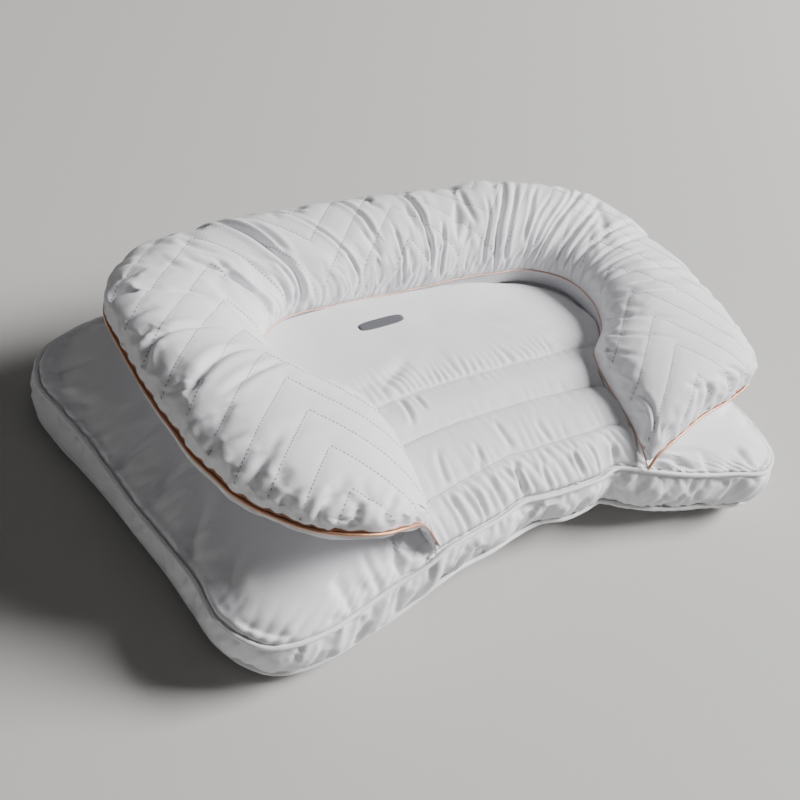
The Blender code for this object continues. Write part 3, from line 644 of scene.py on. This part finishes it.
# %% Quilting lines
QUILT_PITCH, QUILT_COLUMN, QUILT_POINT_X = 44.0, 120.0, -10.0
QUILT_DEPTH = 0.9
QUILT_COLUMNS, QUILT_LINES = 4, 9
STITCH_LENGTH, STITCH_STEP, STITCH_RADIUS, STITCH_FLATNESS, STITCH_PROUD = 2.8, 3.8, 0.42, 0.6, 0.12
BEAD_POINTS = [(-1, 0, 0), (-0.5, 1, 1), (-0.5, -1, 1), (0.5, 1, 1), (0.5, -1, 1), (1, 0, 0), (0, 0, -1)]
BEAD_FACES = [
    (0, 2, 1), (1, 2, 4), (1, 4, 3), (3, 4, 5), (0, 1, 6), (1, 3, 6), (3, 5, 6), (5, 4, 6), (4, 2, 6),
    (2, 0, 6),
]
RAY_START_Z, QUILT_LEAST_UP, PAD_LEAST_UP = 400.0, 0.3, 0.1


def distance_to_stitches(x, y):
    """Distance in plan from the nearest stitched line, straight across it."""
    from_point = np.abs((x - QUILT_POINT_X + QUILT_COLUMN) % (2 * QUILT_COLUMN) - QUILT_COLUMN)
    phase = (y + from_point) / QUILT_PITCH
    return np.abs(phase - np.round(phase)) * QUILT_PITCH * math.sqrt(0.5)


off = distance_to_stitches(horseshoe[:, :, 0], horseshoe[:, :, 1])
normal = normals_of(horseshoe)
faces_up = step_up(normal[:, :, 2], 0.15, 0.5) * on_crown * sewn
pucker = 1.0 + 0.5 * cloud(horseshoe[:, :, 0] / 5.0, horseshoe[:, :, 1] / 5.0, 91)
pulled = 0.7 * bell(off, 1.9) * pucker + 0.6 * bell(off, 6.0)
height = height - QUILT_DEPTH * pulled * faces_up
horseshoe = horseshoe + height[:, :, None] * normal
horseshoe_cloth = make_piece("horseshoe_cloth", horseshoe, closed_columns=True, capped=True)


# %% Stitches
def surface_of(piece):
    """A search tree over a piece's faces, in millimetres."""
    corners = [p.vertices for p in piece.data.polygons]
    return BVHTree.FromPolygons(points_of(piece.data).tolist(), corners)


def meet(surface, x, y):
    """Where a ray straight down at x, y meets the surface, and the normal there."""
    return surface.ray_cast(Vector((x, y, RAY_START_Z)), Vector((0.0, 0.0, -1.0)))[:2]


def lay_stitches(name, surface, paths, least_up):
    """Short thread stitches along flat paths, each laid where a ray from above meets the surface.

    A stitch is a flat bead with pointed ends. Where the normal's z is under least_up, none is laid.
    """
    beads = []
    for start, end in paths:
        run = np.array(end) - np.array(start)
        length = np.linalg.norm(run)
        for number in range(int(length / STITCH_STEP)):
            x, y = np.array(start) + run * (number + 0.5) * STITCH_STEP / length
            spot, normal = meet(surface, x, y)
            if spot is not None and normal.z > least_up:
                lead = Vector((run[0], run[1], 0.0))
                lead = (lead - lead.dot(normal) * normal).normalized()
                beads.append((spot + STITCH_PROUD * normal, lead, normal.cross(lead), normal))
    spots, leads, sides, tops = (np.array([bead[k] for bead in beads]) for k in range(4))
    half, thick = STITCH_LENGTH / 2.0, STITCH_RADIUS * STITCH_FLATNESS
    points = np.stack([
        spots + leads * (a * half) + sides * (b * STITCH_RADIUS) + tops * (c * thick)
        for a, b, c in BEAD_POINTS
    ], axis=1)
    firsts = len(BEAD_POINTS) * np.arange(len(beads))[:, None, None]
    faces = (np.array(BEAD_FACES)[None, :, :] + firsts).reshape(-1, 3)
    mesh = bpy.data.meshes.new(name)
    mesh.from_pydata((points.reshape(-1, 3) * MM).tolist(), [], faces.tolist())
    mesh.uv_layers.new(name="cloth")
    print(f"{name}: {len(beads)} stitches")
    return add_object(name, mesh)


def quilt_paths():
    """Both ends of each stitched line, in plan."""
    paths = []
    for column in range(-QUILT_COLUMNS, QUILT_COLUMNS):
        low = QUILT_POINT_X + column * QUILT_COLUMN
        for line in range(-QUILT_LINES, QUILT_LINES):
            top, bottom = line * QUILT_PITCH, line * QUILT_PITCH - QUILT_COLUMN
            left, right = (top, bottom) if column % 2 == 0 else (bottom, top)
            paths.append(((low, left), (low + QUILT_COLUMN, right)))
    return paths


quilted = surface_of(horseshoe_cloth)
quilt_stitches = lay_stitches("quilting_stitches", quilted, quilt_paths(), QUILT_LEAST_UP)

# %% [markdown]
# ## Copper piping
#
# Thin cords wrapped in copper coloured satin run along both seams of the horseshoe. At the tips
# they meet and run on down to the base's piping. Above the outer cord the strip that wraps it
# still shows, as a narrow band; its darker colour is painted shade of the hollow above the cord.

# %% Copper piping of the horseshoe
COPPER_CORD_RADIUS, INNER_CORD_RADIUS, CLEARANCE = 1.6, 0.9, 0.3
LEFT_TIP_END, RIGHT_TIP_END, RUN_ON_STEPS = (-138.0, -198.5, 102.0), (149.5, -186.5, 103.0), 7
BAND_SHARE, BAND_OUT, BAND_IN = 0.6, 0.35, 0.4


def copper_line(seam_columns, outward, drop):
    """Centres beside one seam of the horseshoe, and the directions away from the filling."""
    rows = horseshoe_stations(2 * HORSESHOE_STATIONS)[0]
    seam = rows[:, seam_columns:seam_columns + 3]
    ahead = np.gradient(seam, axis=0)
    flat = np.stack([-ahead[:, 1], ahead[:, 0], np.zeros(len(ahead))], axis=1)
    flat = flat / np.linalg.norm(flat, axis=1)[:, None]
    return (seam + flat * outward - UP * drop)[2:-2], flat[2:-2]


def run_on(centres, outward, start, end):
    """Carry a line straight on from its ends to two more points."""
    t = np.linspace(0.0, 1.0, RUN_ON_STEPS + 1)[:, None]
    first = np.array(start) * (1 - t) + centres[0] * t
    last = centres[-1] * (1 - t) + np.array(end) * t
    before, after = np.repeat(outward[:1], RUN_ON_STEPS, 0), np.repeat(outward[-1:], RUN_ON_STEPS, 0)
    outward = np.concatenate([before, outward, after])
    return np.concatenate([first[:-1], centres, last[1:]]), outward


def copper_band():
    """A thin strip of satin that lies on the crown just above its outer seam."""
    edge = 2 * CROWN_COLUMNS
    upper = horseshoe[:, edge - 1] * (1 - BAND_SHARE) + horseshoe[:, edge - 2] * BAND_SHARE
    strip = np.stack([horseshoe[:, edge], horseshoe[:, edge - 1], upper], axis=1)
    out = normal[:, edge - 1][:, None, :]
    return np.concatenate([strip + BAND_OUT * out, (strip - BAND_IN * out)[:, ::-1]], axis=1)[4:-4]


outer_line = copper_line(3, COPPER_CORD_RADIUS + CLEARANCE, 0.0)
inner_line = copper_line(0, -INNER_CORD_RADIUS - CLEARANCE, -INNER_CORD_RADIUS)
outer_cord = piping_grid(*run_on(*outer_line, LEFT_TIP_END, RIGHT_TIP_END), COPPER_CORD_RADIUS, 10)
inner_cord = piping_grid(*run_on(*inner_line, LEFT_TIP_END, RIGHT_TIP_END), INNER_CORD_RADIUS, 8)
outer_piping = make_piece("horseshoe_piping_outer_satin", outer_cord, closed_columns=True, capped=True)
inner_piping = make_piece("horseshoe_piping_inner_satin", inner_cord, closed_columns=True, capped=True)
band = make_piece("horseshoe_copper_band", copper_band(), closed_columns=True, capped=True)

# %% [markdown]
# ## The centre pad
#
# One panel over a thin filling has a head panel shaped like a D at the back, and in front of it a
# neck section whose sewn seams make channels. Its sides follow the horseshoe's inner seam. A
# profile gives the height down its middle, with a dip at each seam. The seams run askew and bowed,
# so the profile is read at a shifted place. Pleats gather the front of the head panel, and deep
# folds the front band.

# %% Sizes of the pad
PAD_PROFILE = np.array([  # y, height
    (112, 137), (60, 141), (0, 141), (-30, 138), (-38, 136), (-46, 137), (-66, 137.5), (-86, 132.5),
    (-92, 131), (-99, 132), (-118, 132), (-134, 127.5), (-140, 125.5), (-147, 124.5), (-156, 120),
    (-164, 112.5), (-172, 104),
])
SEAM_BENDS = np.array([  # y down the middle, how far the seam's two ends are apart along Y, its bow
    (-172.0, 0.0, 0.0), (-140.0, 8.0, 5.0), (-92.0, 15.0, 14.0), (-38.0, 28.0, 9.0), (40.0, 0.0, 0.0),
])
PAD_ROWS, PAD_COLUMNS, ARM_STATIONS = 170, 150, 96
PAD_FRONT_Y, PAD_BACK_Y, NECK_HALF_WIDTH = -172.0, 95.0, 250.0
FRONT_SEAT, FRONT_BEND_START_Y = 3.2, -100.0
BACK_EDGE_BOW, BACK_BOW_LENGTH, BACK_EDGE_LIFT = 10.5, 60.0, 4.0
PAD_LEFT_DROP, PAD_RIGHT_DROP, BACK_RIGHT_DROP, PAD_LEAST_HEIGHT = 4.0, 1.5, 10.0, 1.5
NECK_RIGHT_LIFT = 3.5
SEAT_GAP, FRONT_GAP, RIGHT_GAP = 0.8, 3.5, 4.0
CHORD_Y, FIRST_SEAM_Y, SECOND_SEAM_Y = -38.0, -92.0, -140.0
SEAM_DIP, SEAM_DIP_WIDTH = 1.3, 1.8
HEAD_PLEATS, CHORD_GATHERS, FIRST_GATHERS, SECOND_GATHERS, BAND_GATHERS = 5.4, 1.5, 1.3, 2.0, 6.0
# start x, y; end x, y; bow, half width, depth (mm)
PAD_FOLDS = [
    (-16, -176, -20, -146, 2, 3, 9), (112, -172, 115, -152, -1, 3, 8), (64, -176, 58, -150, 2, 2.4, 5),
    (86, -176, 78, -148, -2, 2.2, 4.5), (20, -177, 12, -152, 2, 2.4, 4),
    (-46, -182, -58, -150, 2, 2.6, 5), (-74, -190, -88, -156, -3, 2.6, 5.5),
    (-98, -196, -112, -162, 2, 2.4, 5), (-122, -200, -132, -176, 2, 2.2, 4),
    (-102, -42, -106, -78, 2, 2.6, 3.5), (-84, -40, -82, -62, 1, 2.2, 2.5),
    (-10, -128, -16, -96, 2, 3, 2.5), (-104, -150, -96, -110, 2, 3, 3), (38, -132, 34, -104, 2, 3, 2),
    (-60, -146, -52, -116, -2, 3, 2.5), (140, 10, 60, 36, 5, 6, 1.5), (-150, -20, -60, 10, -6, 7, 2),
    (-120, -30, -70, -2, 4, 5, 2),
]


def pad_outline(y):
    """Left and right edges of the pad at each y: just inside the horseshoe's inner seam."""
    rows = horseshoe_stations(2 * ARM_STATIONS)[0]
    left, right = rows[:ARM_STATIONS, 0:2], rows[ARM_STATIONS:, 0:2][::-1]
    gap = SEAT_GAP + FRONT_GAP * step_up(-y, -FRONT_BEND_START_Y, -PAD_FRONT_Y)
    right_gap = gap + RIGHT_GAP * step_up(y, -30.0, 20.0)
    left_edge = np.interp(y, left[:, 1], left[:, 0]) + gap
    return left_edge, np.interp(y, right[:, 1], right[:, 0]) - right_gap


# %% The pad as a grid
def pad_plan():
    """Plan of the pad: x, y, the shifted place at which the profile is read, and the columns."""
    y = np.linspace(PAD_FRONT_Y, PAD_BACK_Y, PAD_ROWS)
    column = np.linspace(-1.0, 1.0, PAD_COLUMNS + 1)[None, :]
    left, right = pad_outline(y)
    x = (left + right)[:, None] / 2 + (right - left)[:, None] / 2 * column
    y = y[:, None]
    seam = base_seams(BASE_STATIONS)[0]
    seam = seam[(seam[:, 1] < FRONT_BEND_START_Y) & (np.abs(seam[:, 0]) < NECK_HALF_WIDTH)]
    seam = seam[np.argsort(seam[:, 0])]
    to_front = np.interp(x, seam[:, 0], seam[:, 1]) + FRONT_SEAT - PAD_FRONT_Y
    arch = 1.0 - column**2
    back_bow = BACK_EDGE_BOW * step_up(y, PAD_BACK_Y - BACK_BOW_LENGTH, PAD_BACK_Y)
    back_bow = back_bow * (1.0 - 0.5 * step_up(x, 70.0, 170.0))
    bent_y = y + back_bow * arch + to_front * step_up(-y, -FRONT_BEND_START_Y, -PAD_FRONT_Y)
    apart = np.interp(y, SEAM_BENDS[:, 0], SEAM_BENDS[:, 1])
    bow = np.interp(y, SEAM_BENDS[:, 0], SEAM_BENDS[:, 2])
    return x, bent_y, y - apart / 2 * column - bow * arch, column


def pad_top(x, y, read, column):
    """Height of the pad's top: profile, drop to the sides, stitched seams, pleats and folds."""
    profile = PAD_PROFILE[::-1]
    top = hermite(profile[:, 0], profile[:, 1:2], read.ravel()).reshape(read.shape)
    right_drop = PAD_RIGHT_DROP + BACK_RIGHT_DROP * step_up(y, 0.0, 50.0)
    top = top - np.where(column > 0, right_drop, PAD_LEFT_DROP) * np.abs(column)**6
    chord, first, second = (np.abs(read - seam_y) for seam_y in (CHORD_Y, FIRST_SEAM_Y, SECOND_SEAM_Y))
    for distance in (chord, first, second):
        top = top - SEAM_DIP * bell(distance, SEAM_DIP_WIDTH)
    top = top + BACK_EDGE_LIFT * step_up(y, 50.0, PAD_BACK_Y) * (1.0 - step_up(x, 60.0, 140.0))
    right_lift = NECK_RIGHT_LIFT * step_up(x, 40.0, 150.0) * (1.0 - step_up(y, -50.0, 0.0))
    top = top + right_lift * step_up(y, PAD_FRONT_Y, SECOND_SEAM_Y)
    behind = step_up(read, CHORD_Y, CHORD_Y + 5.0)
    in_front = step_up(-read, -SECOND_SEAM_Y, -SECOND_SEAM_Y + 6.0)
    slant, front = x + 0.5 * (y - PAD_FRONT_Y), np.abs(read - PAD_FRONT_Y) + 3.0
    fold = HEAD_PLEATS * behind * gathers(x + 0.25 * chord, chord, 10.0, 25.0, 51)
    fold = fold * (1.0 - 0.5 * column**2)
    fold += CHORD_GATHERS * (1.0 - behind) * gathers(x, chord, 15.0, 12.0, 54)
    channel_folds = FIRST_GATHERS * gathers(x, first, 17.0, 14.0, 57)
    fold += channel_folds + SECOND_GATHERS * gathers(x, second, 14.0, 18.0, 60)
    fold += BAND_GATHERS * in_front * gathers(slant, front, 13.0, 30.0, 63)
    fold += creases(x, y, PAD_FOLDS, bend=2.0, seed=73)
    fold += 0.8 * cloud(x / 40.0, y / 30.0, 66)
    return top + fold * (1.0 - column**8)


x, y, read, column = pad_plan()
foot_z = DECK_Z + CLEARANCE
top = np.maximum(pad_top(x, y, read, column), foot_z + PAD_LEAST_HEIGHT)
crown = np.stack([x, y, top], axis=2)
sole = crown[:, ::-1].copy()
sole[:, :, 2] = foot_z
pad = np.concatenate([crown, sole], axis=1)
for edge in (0, -1):
    pad[edge, :, 2] = foot_z
centre_pad = make_piece("centre_pad_cloth", pad, closed_columns=True)
weld(centre_pad)
pad_surface = surface_of(centre_pad)

# %% [markdown]
# Rows of fine stitches show the channels' seams. The head panel carries a plain dark grey bar:
# rings of one flattened shape that shrink to its middle, laid on the cloth.

# %% Seam stitches and the bar
BAR_CENTRE, BAR_HALF_LENGTH, BAR_HALF_WIDTH, BAR_TURN = (-68.0, 64.0), 30.0, 6.2, 5.0
BAR_RINGS, BAR_POINTS, BAR_SQUARENESS = 8, 72, 3.4
BAR_PROUD, BAR_RIM_LOW, BAR_RIM_HIGH = 0.45, -0.5, 0.3
SPOT_STEP = 4


def seam_paths(seam_y):
    """Short straight runs along one seam of the pad: where the shifted place passes the seam."""
    row = np.argmin(np.abs(read - seam_y), axis=0)[::SPOT_STEP]
    columns = np.arange(0, PAD_COLUMNS + 1, SPOT_STEP)
    spots = np.stack([x[row, columns], y[row, columns]], axis=1)
    return list(zip(spots[1:-2].tolist(), spots[2:-1].tolist()))


def bar_grid():
    """Rings |x/a|^n + |y/b|^n = share^n from the rim inwards, just above the head panel."""
    angle = np.arange(BAR_POINTS) / BAR_POINTS * 2.0 * np.pi
    power = 2.0 / BAR_SQUARENESS
    across = BAR_HALF_LENGTH * np.sign(np.cos(angle)) * np.abs(np.cos(angle))**power
    up = BAR_HALF_WIDTH * np.sign(np.sin(angle)) * np.abs(np.sin(angle))**power
    c, s = math.cos(math.radians(BAR_TURN)), math.sin(math.radians(BAR_TURN))
    shapes = [(1.0, BAR_RIM_LOW), (1.0, BAR_RIM_HIGH)]
    shapes += [(k / BAR_RINGS, BAR_PROUD) for k in range(BAR_RINGS - 1, 0, -1)]
    rings = []
    for share, proud in shapes:
        plan_x = BAR_CENTRE[0] + share * (across * c - up * s)
        plan_y = BAR_CENTRE[1] + share * (across * s + up * c)
        hits = [meet(pad_surface, a, b)[0] for a, b in zip(plan_x, plan_y)]
        rings.append(np.array(hits) + UP * proud)
    return np.array(rings)


channel_paths = seam_paths(FIRST_SEAM_Y) + seam_paths(SECOND_SEAM_Y)
chord_paths = seam_paths(CHORD_Y)
channel_stitches = lay_stitches("channel_stitches", pad_surface, channel_paths, PAD_LEAST_UP)
chord_stitches = lay_stitches("head_panel_stitches", pad_surface, chord_paths, PAD_LEAST_UP)
bar = make_piece("head_panel_bar", bar_grid(), closed_columns=True, capped=True)

# %% [markdown]
# ## Cotton and satin
#
# Close to, cotton is a plain weave of fine threads with a soft sheen, and its colour varies by a
# hair. Every cloth here uses the weave, so it is one node group, which puts out a height for the
# bump and a grey for the colour. Unlike a photograph of cloth, it has any size and no seams.

# %% A node group for woven cloth
def set_inputs(node, values):
    """Give a node's inputs their values, by name."""
    for name, value in values.items():
        node.inputs[name].default_value = value


def weave_group():
    """Threads both ways over the UV map: two crossed sine waves, with a cloud for uneven yarn."""
    group = bpy.data.node_groups.new("cotton weave", "ShaderNodeTree")
    for name, low, high, value in (("Threads per metre", 100, 6000, 2400), ("Slub", 0, 1, 0.4)):
        socket = group.interface.new_socket(name, in_out="INPUT", socket_type="NodeSocketFloat")
        socket.min_value, socket.max_value, socket.default_value = low, high, value
    for name in ("Height", "Shade"):
        group.interface.new_socket(name, in_out="OUTPUT", socket_type="NodeSocketFloat")
    nodes, links = group.nodes, group.links
    inputs, outputs = nodes.new("NodeGroupInput"), nodes.new("NodeGroupOutput")
    uv = nodes.new("ShaderNodeUVMap")
    uv.uv_map = "cloth"
    split = nodes.new("ShaderNodeSeparateXYZ")
    links.new(uv.outputs["UV"], split.inputs["Vector"])

    def maths(operation, a, b=None):
        node = nodes.new("ShaderNodeMath")
        node.operation = operation
        for number, value in enumerate((a, b)):
            if isinstance(value, (int, float)):
                node.inputs[number].default_value = value
            elif value is not None:
                links.new(value, node.inputs[number])
        return node.outputs[0]

    rate = maths("MULTIPLY", inputs.outputs["Threads per metre"], math.pi)
    warp, weft = (
        maths("ABSOLUTE", maths("SINE", maths("MULTIPLY", split.outputs[axis], rate))) for axis in "XY"
    )
    place = nodes.new("ShaderNodeTexCoord")
    noise = nodes.new("ShaderNodeTexNoise")
    set_inputs(noise, {"Scale": 260.0, "Detail": 3.0})
    links.new(place.outputs["Object"], noise.inputs["Vector"])
    slub = maths("MULTIPLY", noise.outputs[0], inputs.outputs["Slub"])
    threads = maths("MULTIPLY", maths("ADD", warp, weft), 0.5)
    links.new(maths("ADD", threads, slub), outputs.inputs["Height"])
    links.new(maths("ADD", maths("MULTIPLY", noise.outputs[0], 0.06), 0.97), outputs.inputs["Shade"])
    return group


WEAVE = weave_group()

# %% Cloth materials
def cloth(name, colour, roughness, sheen=0.1, threads=2400.0, slub=0.4, bump=0.35, metallic=0.0):
    """A woven cloth: the weave group feeds the bump, and shades the colour by a few per cent."""
    material = bpy.data.materials.new(name)
    material.use_nodes = True
    nodes, links = material.node_tree.nodes, material.node_tree.links
    shader = nodes["Principled BSDF"]
    set_inputs(shader, {
        "Roughness": roughness, "Metallic": metallic, "Sheen Weight": sheen,
        "Sheen Roughness": 0.5, "Specular IOR Level": 0.35,
    })
    weave = nodes.new("ShaderNodeGroup")
    weave.node_tree = WEAVE
    set_inputs(weave, {"Threads per metre": threads, "Slub": slub})
    tint = nodes.new("ShaderNodeMix")
    tint.data_type, tint.blend_type = "RGBA", "MULTIPLY"
    set_inputs(tint, {"Factor": 1.0, "A": (*colour, 1.0)})
    links.new(weave.outputs["Shade"], tint.inputs["B"])
    links.new(tint.outputs["Result"], shader.inputs["Base Color"])
    relief = nodes.new("ShaderNodeBump")
    set_inputs(relief, {"Strength": bump, "Distance": 0.0002})
    links.new(weave.outputs["Height"], relief.inputs["Height"])
    links.new(relief.outputs["Normal"], shader.inputs["Normal"])
    return material


satin = {"threads": 2800.0, "slub": 0.2}
white_cotton = cloth("white cotton", (0.86, 0.86, 0.885), 0.7)
quilted_cotton = cloth("quilted white cotton", (0.87, 0.87, 0.895), 0.62, sheen=0.12)
panel_cotton = cloth("panel cotton", (0.85, 0.85, 0.875), 0.6, sheen=0.12, threads=3000.0)
white_piping = cloth("white piping cotton", (0.87, 0.87, 0.885), 0.55, threads=1800.0)
copper_satin = cloth("copper satin", (0.70, 0.38, 0.24), 0.28, metallic=0.55, **satin)
# The inner cord is copper satin like the outer one; its paler colour is a painted highlight.
inner_satin_painted_highlight = cloth("inner cord copper satin with painted highlight", (0.78, 0.52, 0.42), 0.35, metallic=0.35, **satin)
# The band is the cord's copper satin made darker: its colour is painted shade of the hollow above the
# outer cord.
band_satin_painted_shade = cloth(
    "copper band satin with painted shade", (0.46, 0.23, 0.14), 0.42, threads=500.0, bump=0.8, metallic=0.25,
)
grey_thread = cloth("grey thread", (0.26, 0.26, 0.29), 0.6)
rose_thread = cloth("rose thread", (0.70, 0.45, 0.36), 0.5)
bar_print = cloth("dark grey bar", (0.11, 0.11, 0.125), 0.5, threads=3000.0)

finish_piece(base_pillow, white_cotton, ["base_pillow"])
finish_piece(piping_top, white_piping, ["base_piping_top"])
finish_piece(piping_bottom, white_piping, ["base_piping_bottom"])
finish_piece(centre_pad, panel_cotton, ["centre_pad"])
finish_piece(channel_stitches, grey_thread)
finish_piece(chord_stitches, rose_thread)
finish_piece(bar, bar_print)
finish_piece(horseshoe_cloth, quilted_cotton, ["horseshoe"])
finish_piece(quilt_stitches, grey_thread)
finish_piece(outer_piping, copper_satin, ["horseshoe_piping_outer"])
finish_piece(inner_piping, inner_satin_painted_highlight, ["horseshoe_piping_inner"])
finish_piece(band, band_satin_painted_shade)

# %% [markdown]
# ## Floor, light and camera
#
# The pillow lies on a plain pale floor under soft studio light. A large lamp at the front right
# gives the light side, two weak ones overhead and low on the left open the shadows, and the sky
# stays dim, so that the folds show. The camera looks from where the photograph was taken.

# %% Floor and light
def area_light(name, place, towards, size, watts):
    """A square lamp that faces a point."""
    data = bpy.data.lights.new(name, "AREA")
    data.size, data.energy = size, watts
    lamp = add_object(name, data)
    lamp.location = place
    lamp.rotation_euler = (Vector(towards) - Vector(place)).to_track_quat("-Z", "Y").to_euler()


area_light("key", (6.0, -1.7, 4.8), (0, 0, 0.1), 3.2, 1500.0)
area_light("top", (0.1, 0.5, 2.0), (0, 0, 0.1), 1.4, 2.0)
area_light("fill", (-3.0, -1.0, 0.4), (0, 0, 0.05), 1.2, 7.0)
world = bpy.data.worlds.new("studio")
bpy.context.scene.world = world
world.use_nodes = True
set_inputs(world.node_tree.nodes["Background"], {"Color": (0.93, 0.95, 1.0, 1.0), "Strength": 0.035})
FLOOR_HALF = 60000.0
ends = (-FLOOR_HALF, FLOOR_HALF)
floor_piece = make_piece("floor", np.array([[(a, b, 0.0) for a in ends] for b in ends]))
pale_floor = bpy.data.materials.new("pale floor")
pale_floor.use_nodes = True
shader = pale_floor.node_tree.nodes["Principled BSDF"]
set_inputs(shader, {"Base Color": (0.50, 0.49, 0.47, 1.0), "Roughness": 0.8})
floor_piece.data.materials.append(pale_floor)

# %% Camera
CAMERA_AZIMUTH, CAMERA_ELEVATION, CAMERA_ROLL = -44.1, 42.3, 20.4
CAMERA_DISTANCE, CAMERA_TARGET = 1324.0, (-4.0, 60.0, 7.0)
FOCAL_PIXELS, PICTURE_PIXELS, SENSOR_WIDTH = 1100.0, 800.0, 36.0
a, e, r = np.radians([CAMERA_AZIMUTH, CAMERA_ELEVATION, CAMERA_ROLL])
back = np.array([np.sin(a) * np.cos(e), -np.cos(a) * np.cos(e), np.sin(e)])
side = np.array([np.cos(a), np.sin(a), 0.0])
rise = np.cross(back, side)
side, rise = np.cos(r) * side + np.sin(r) * rise, np.cos(r) * rise - np.sin(r) * side
camera_data = bpy.data.cameras.new("camera")
camera_data.sensor_width = SENSOR_WIDTH
camera_data.lens = FOCAL_PIXELS / PICTURE_PIXELS * SENSOR_WIDTH
camera = add_object("camera", camera_data)
place = (np.array(CAMERA_TARGET) + back * CAMERA_DISTANCE) * MM
matrix = np.identity(4)
matrix[:3, 0], matrix[:3, 1], matrix[:3, 2], matrix[:3, 3] = side, rise, back, place
camera.matrix_world = Matrix(matrix.tolist())
bpy.context.scene.camera = camera
print("camera at", np.round(place, 3))
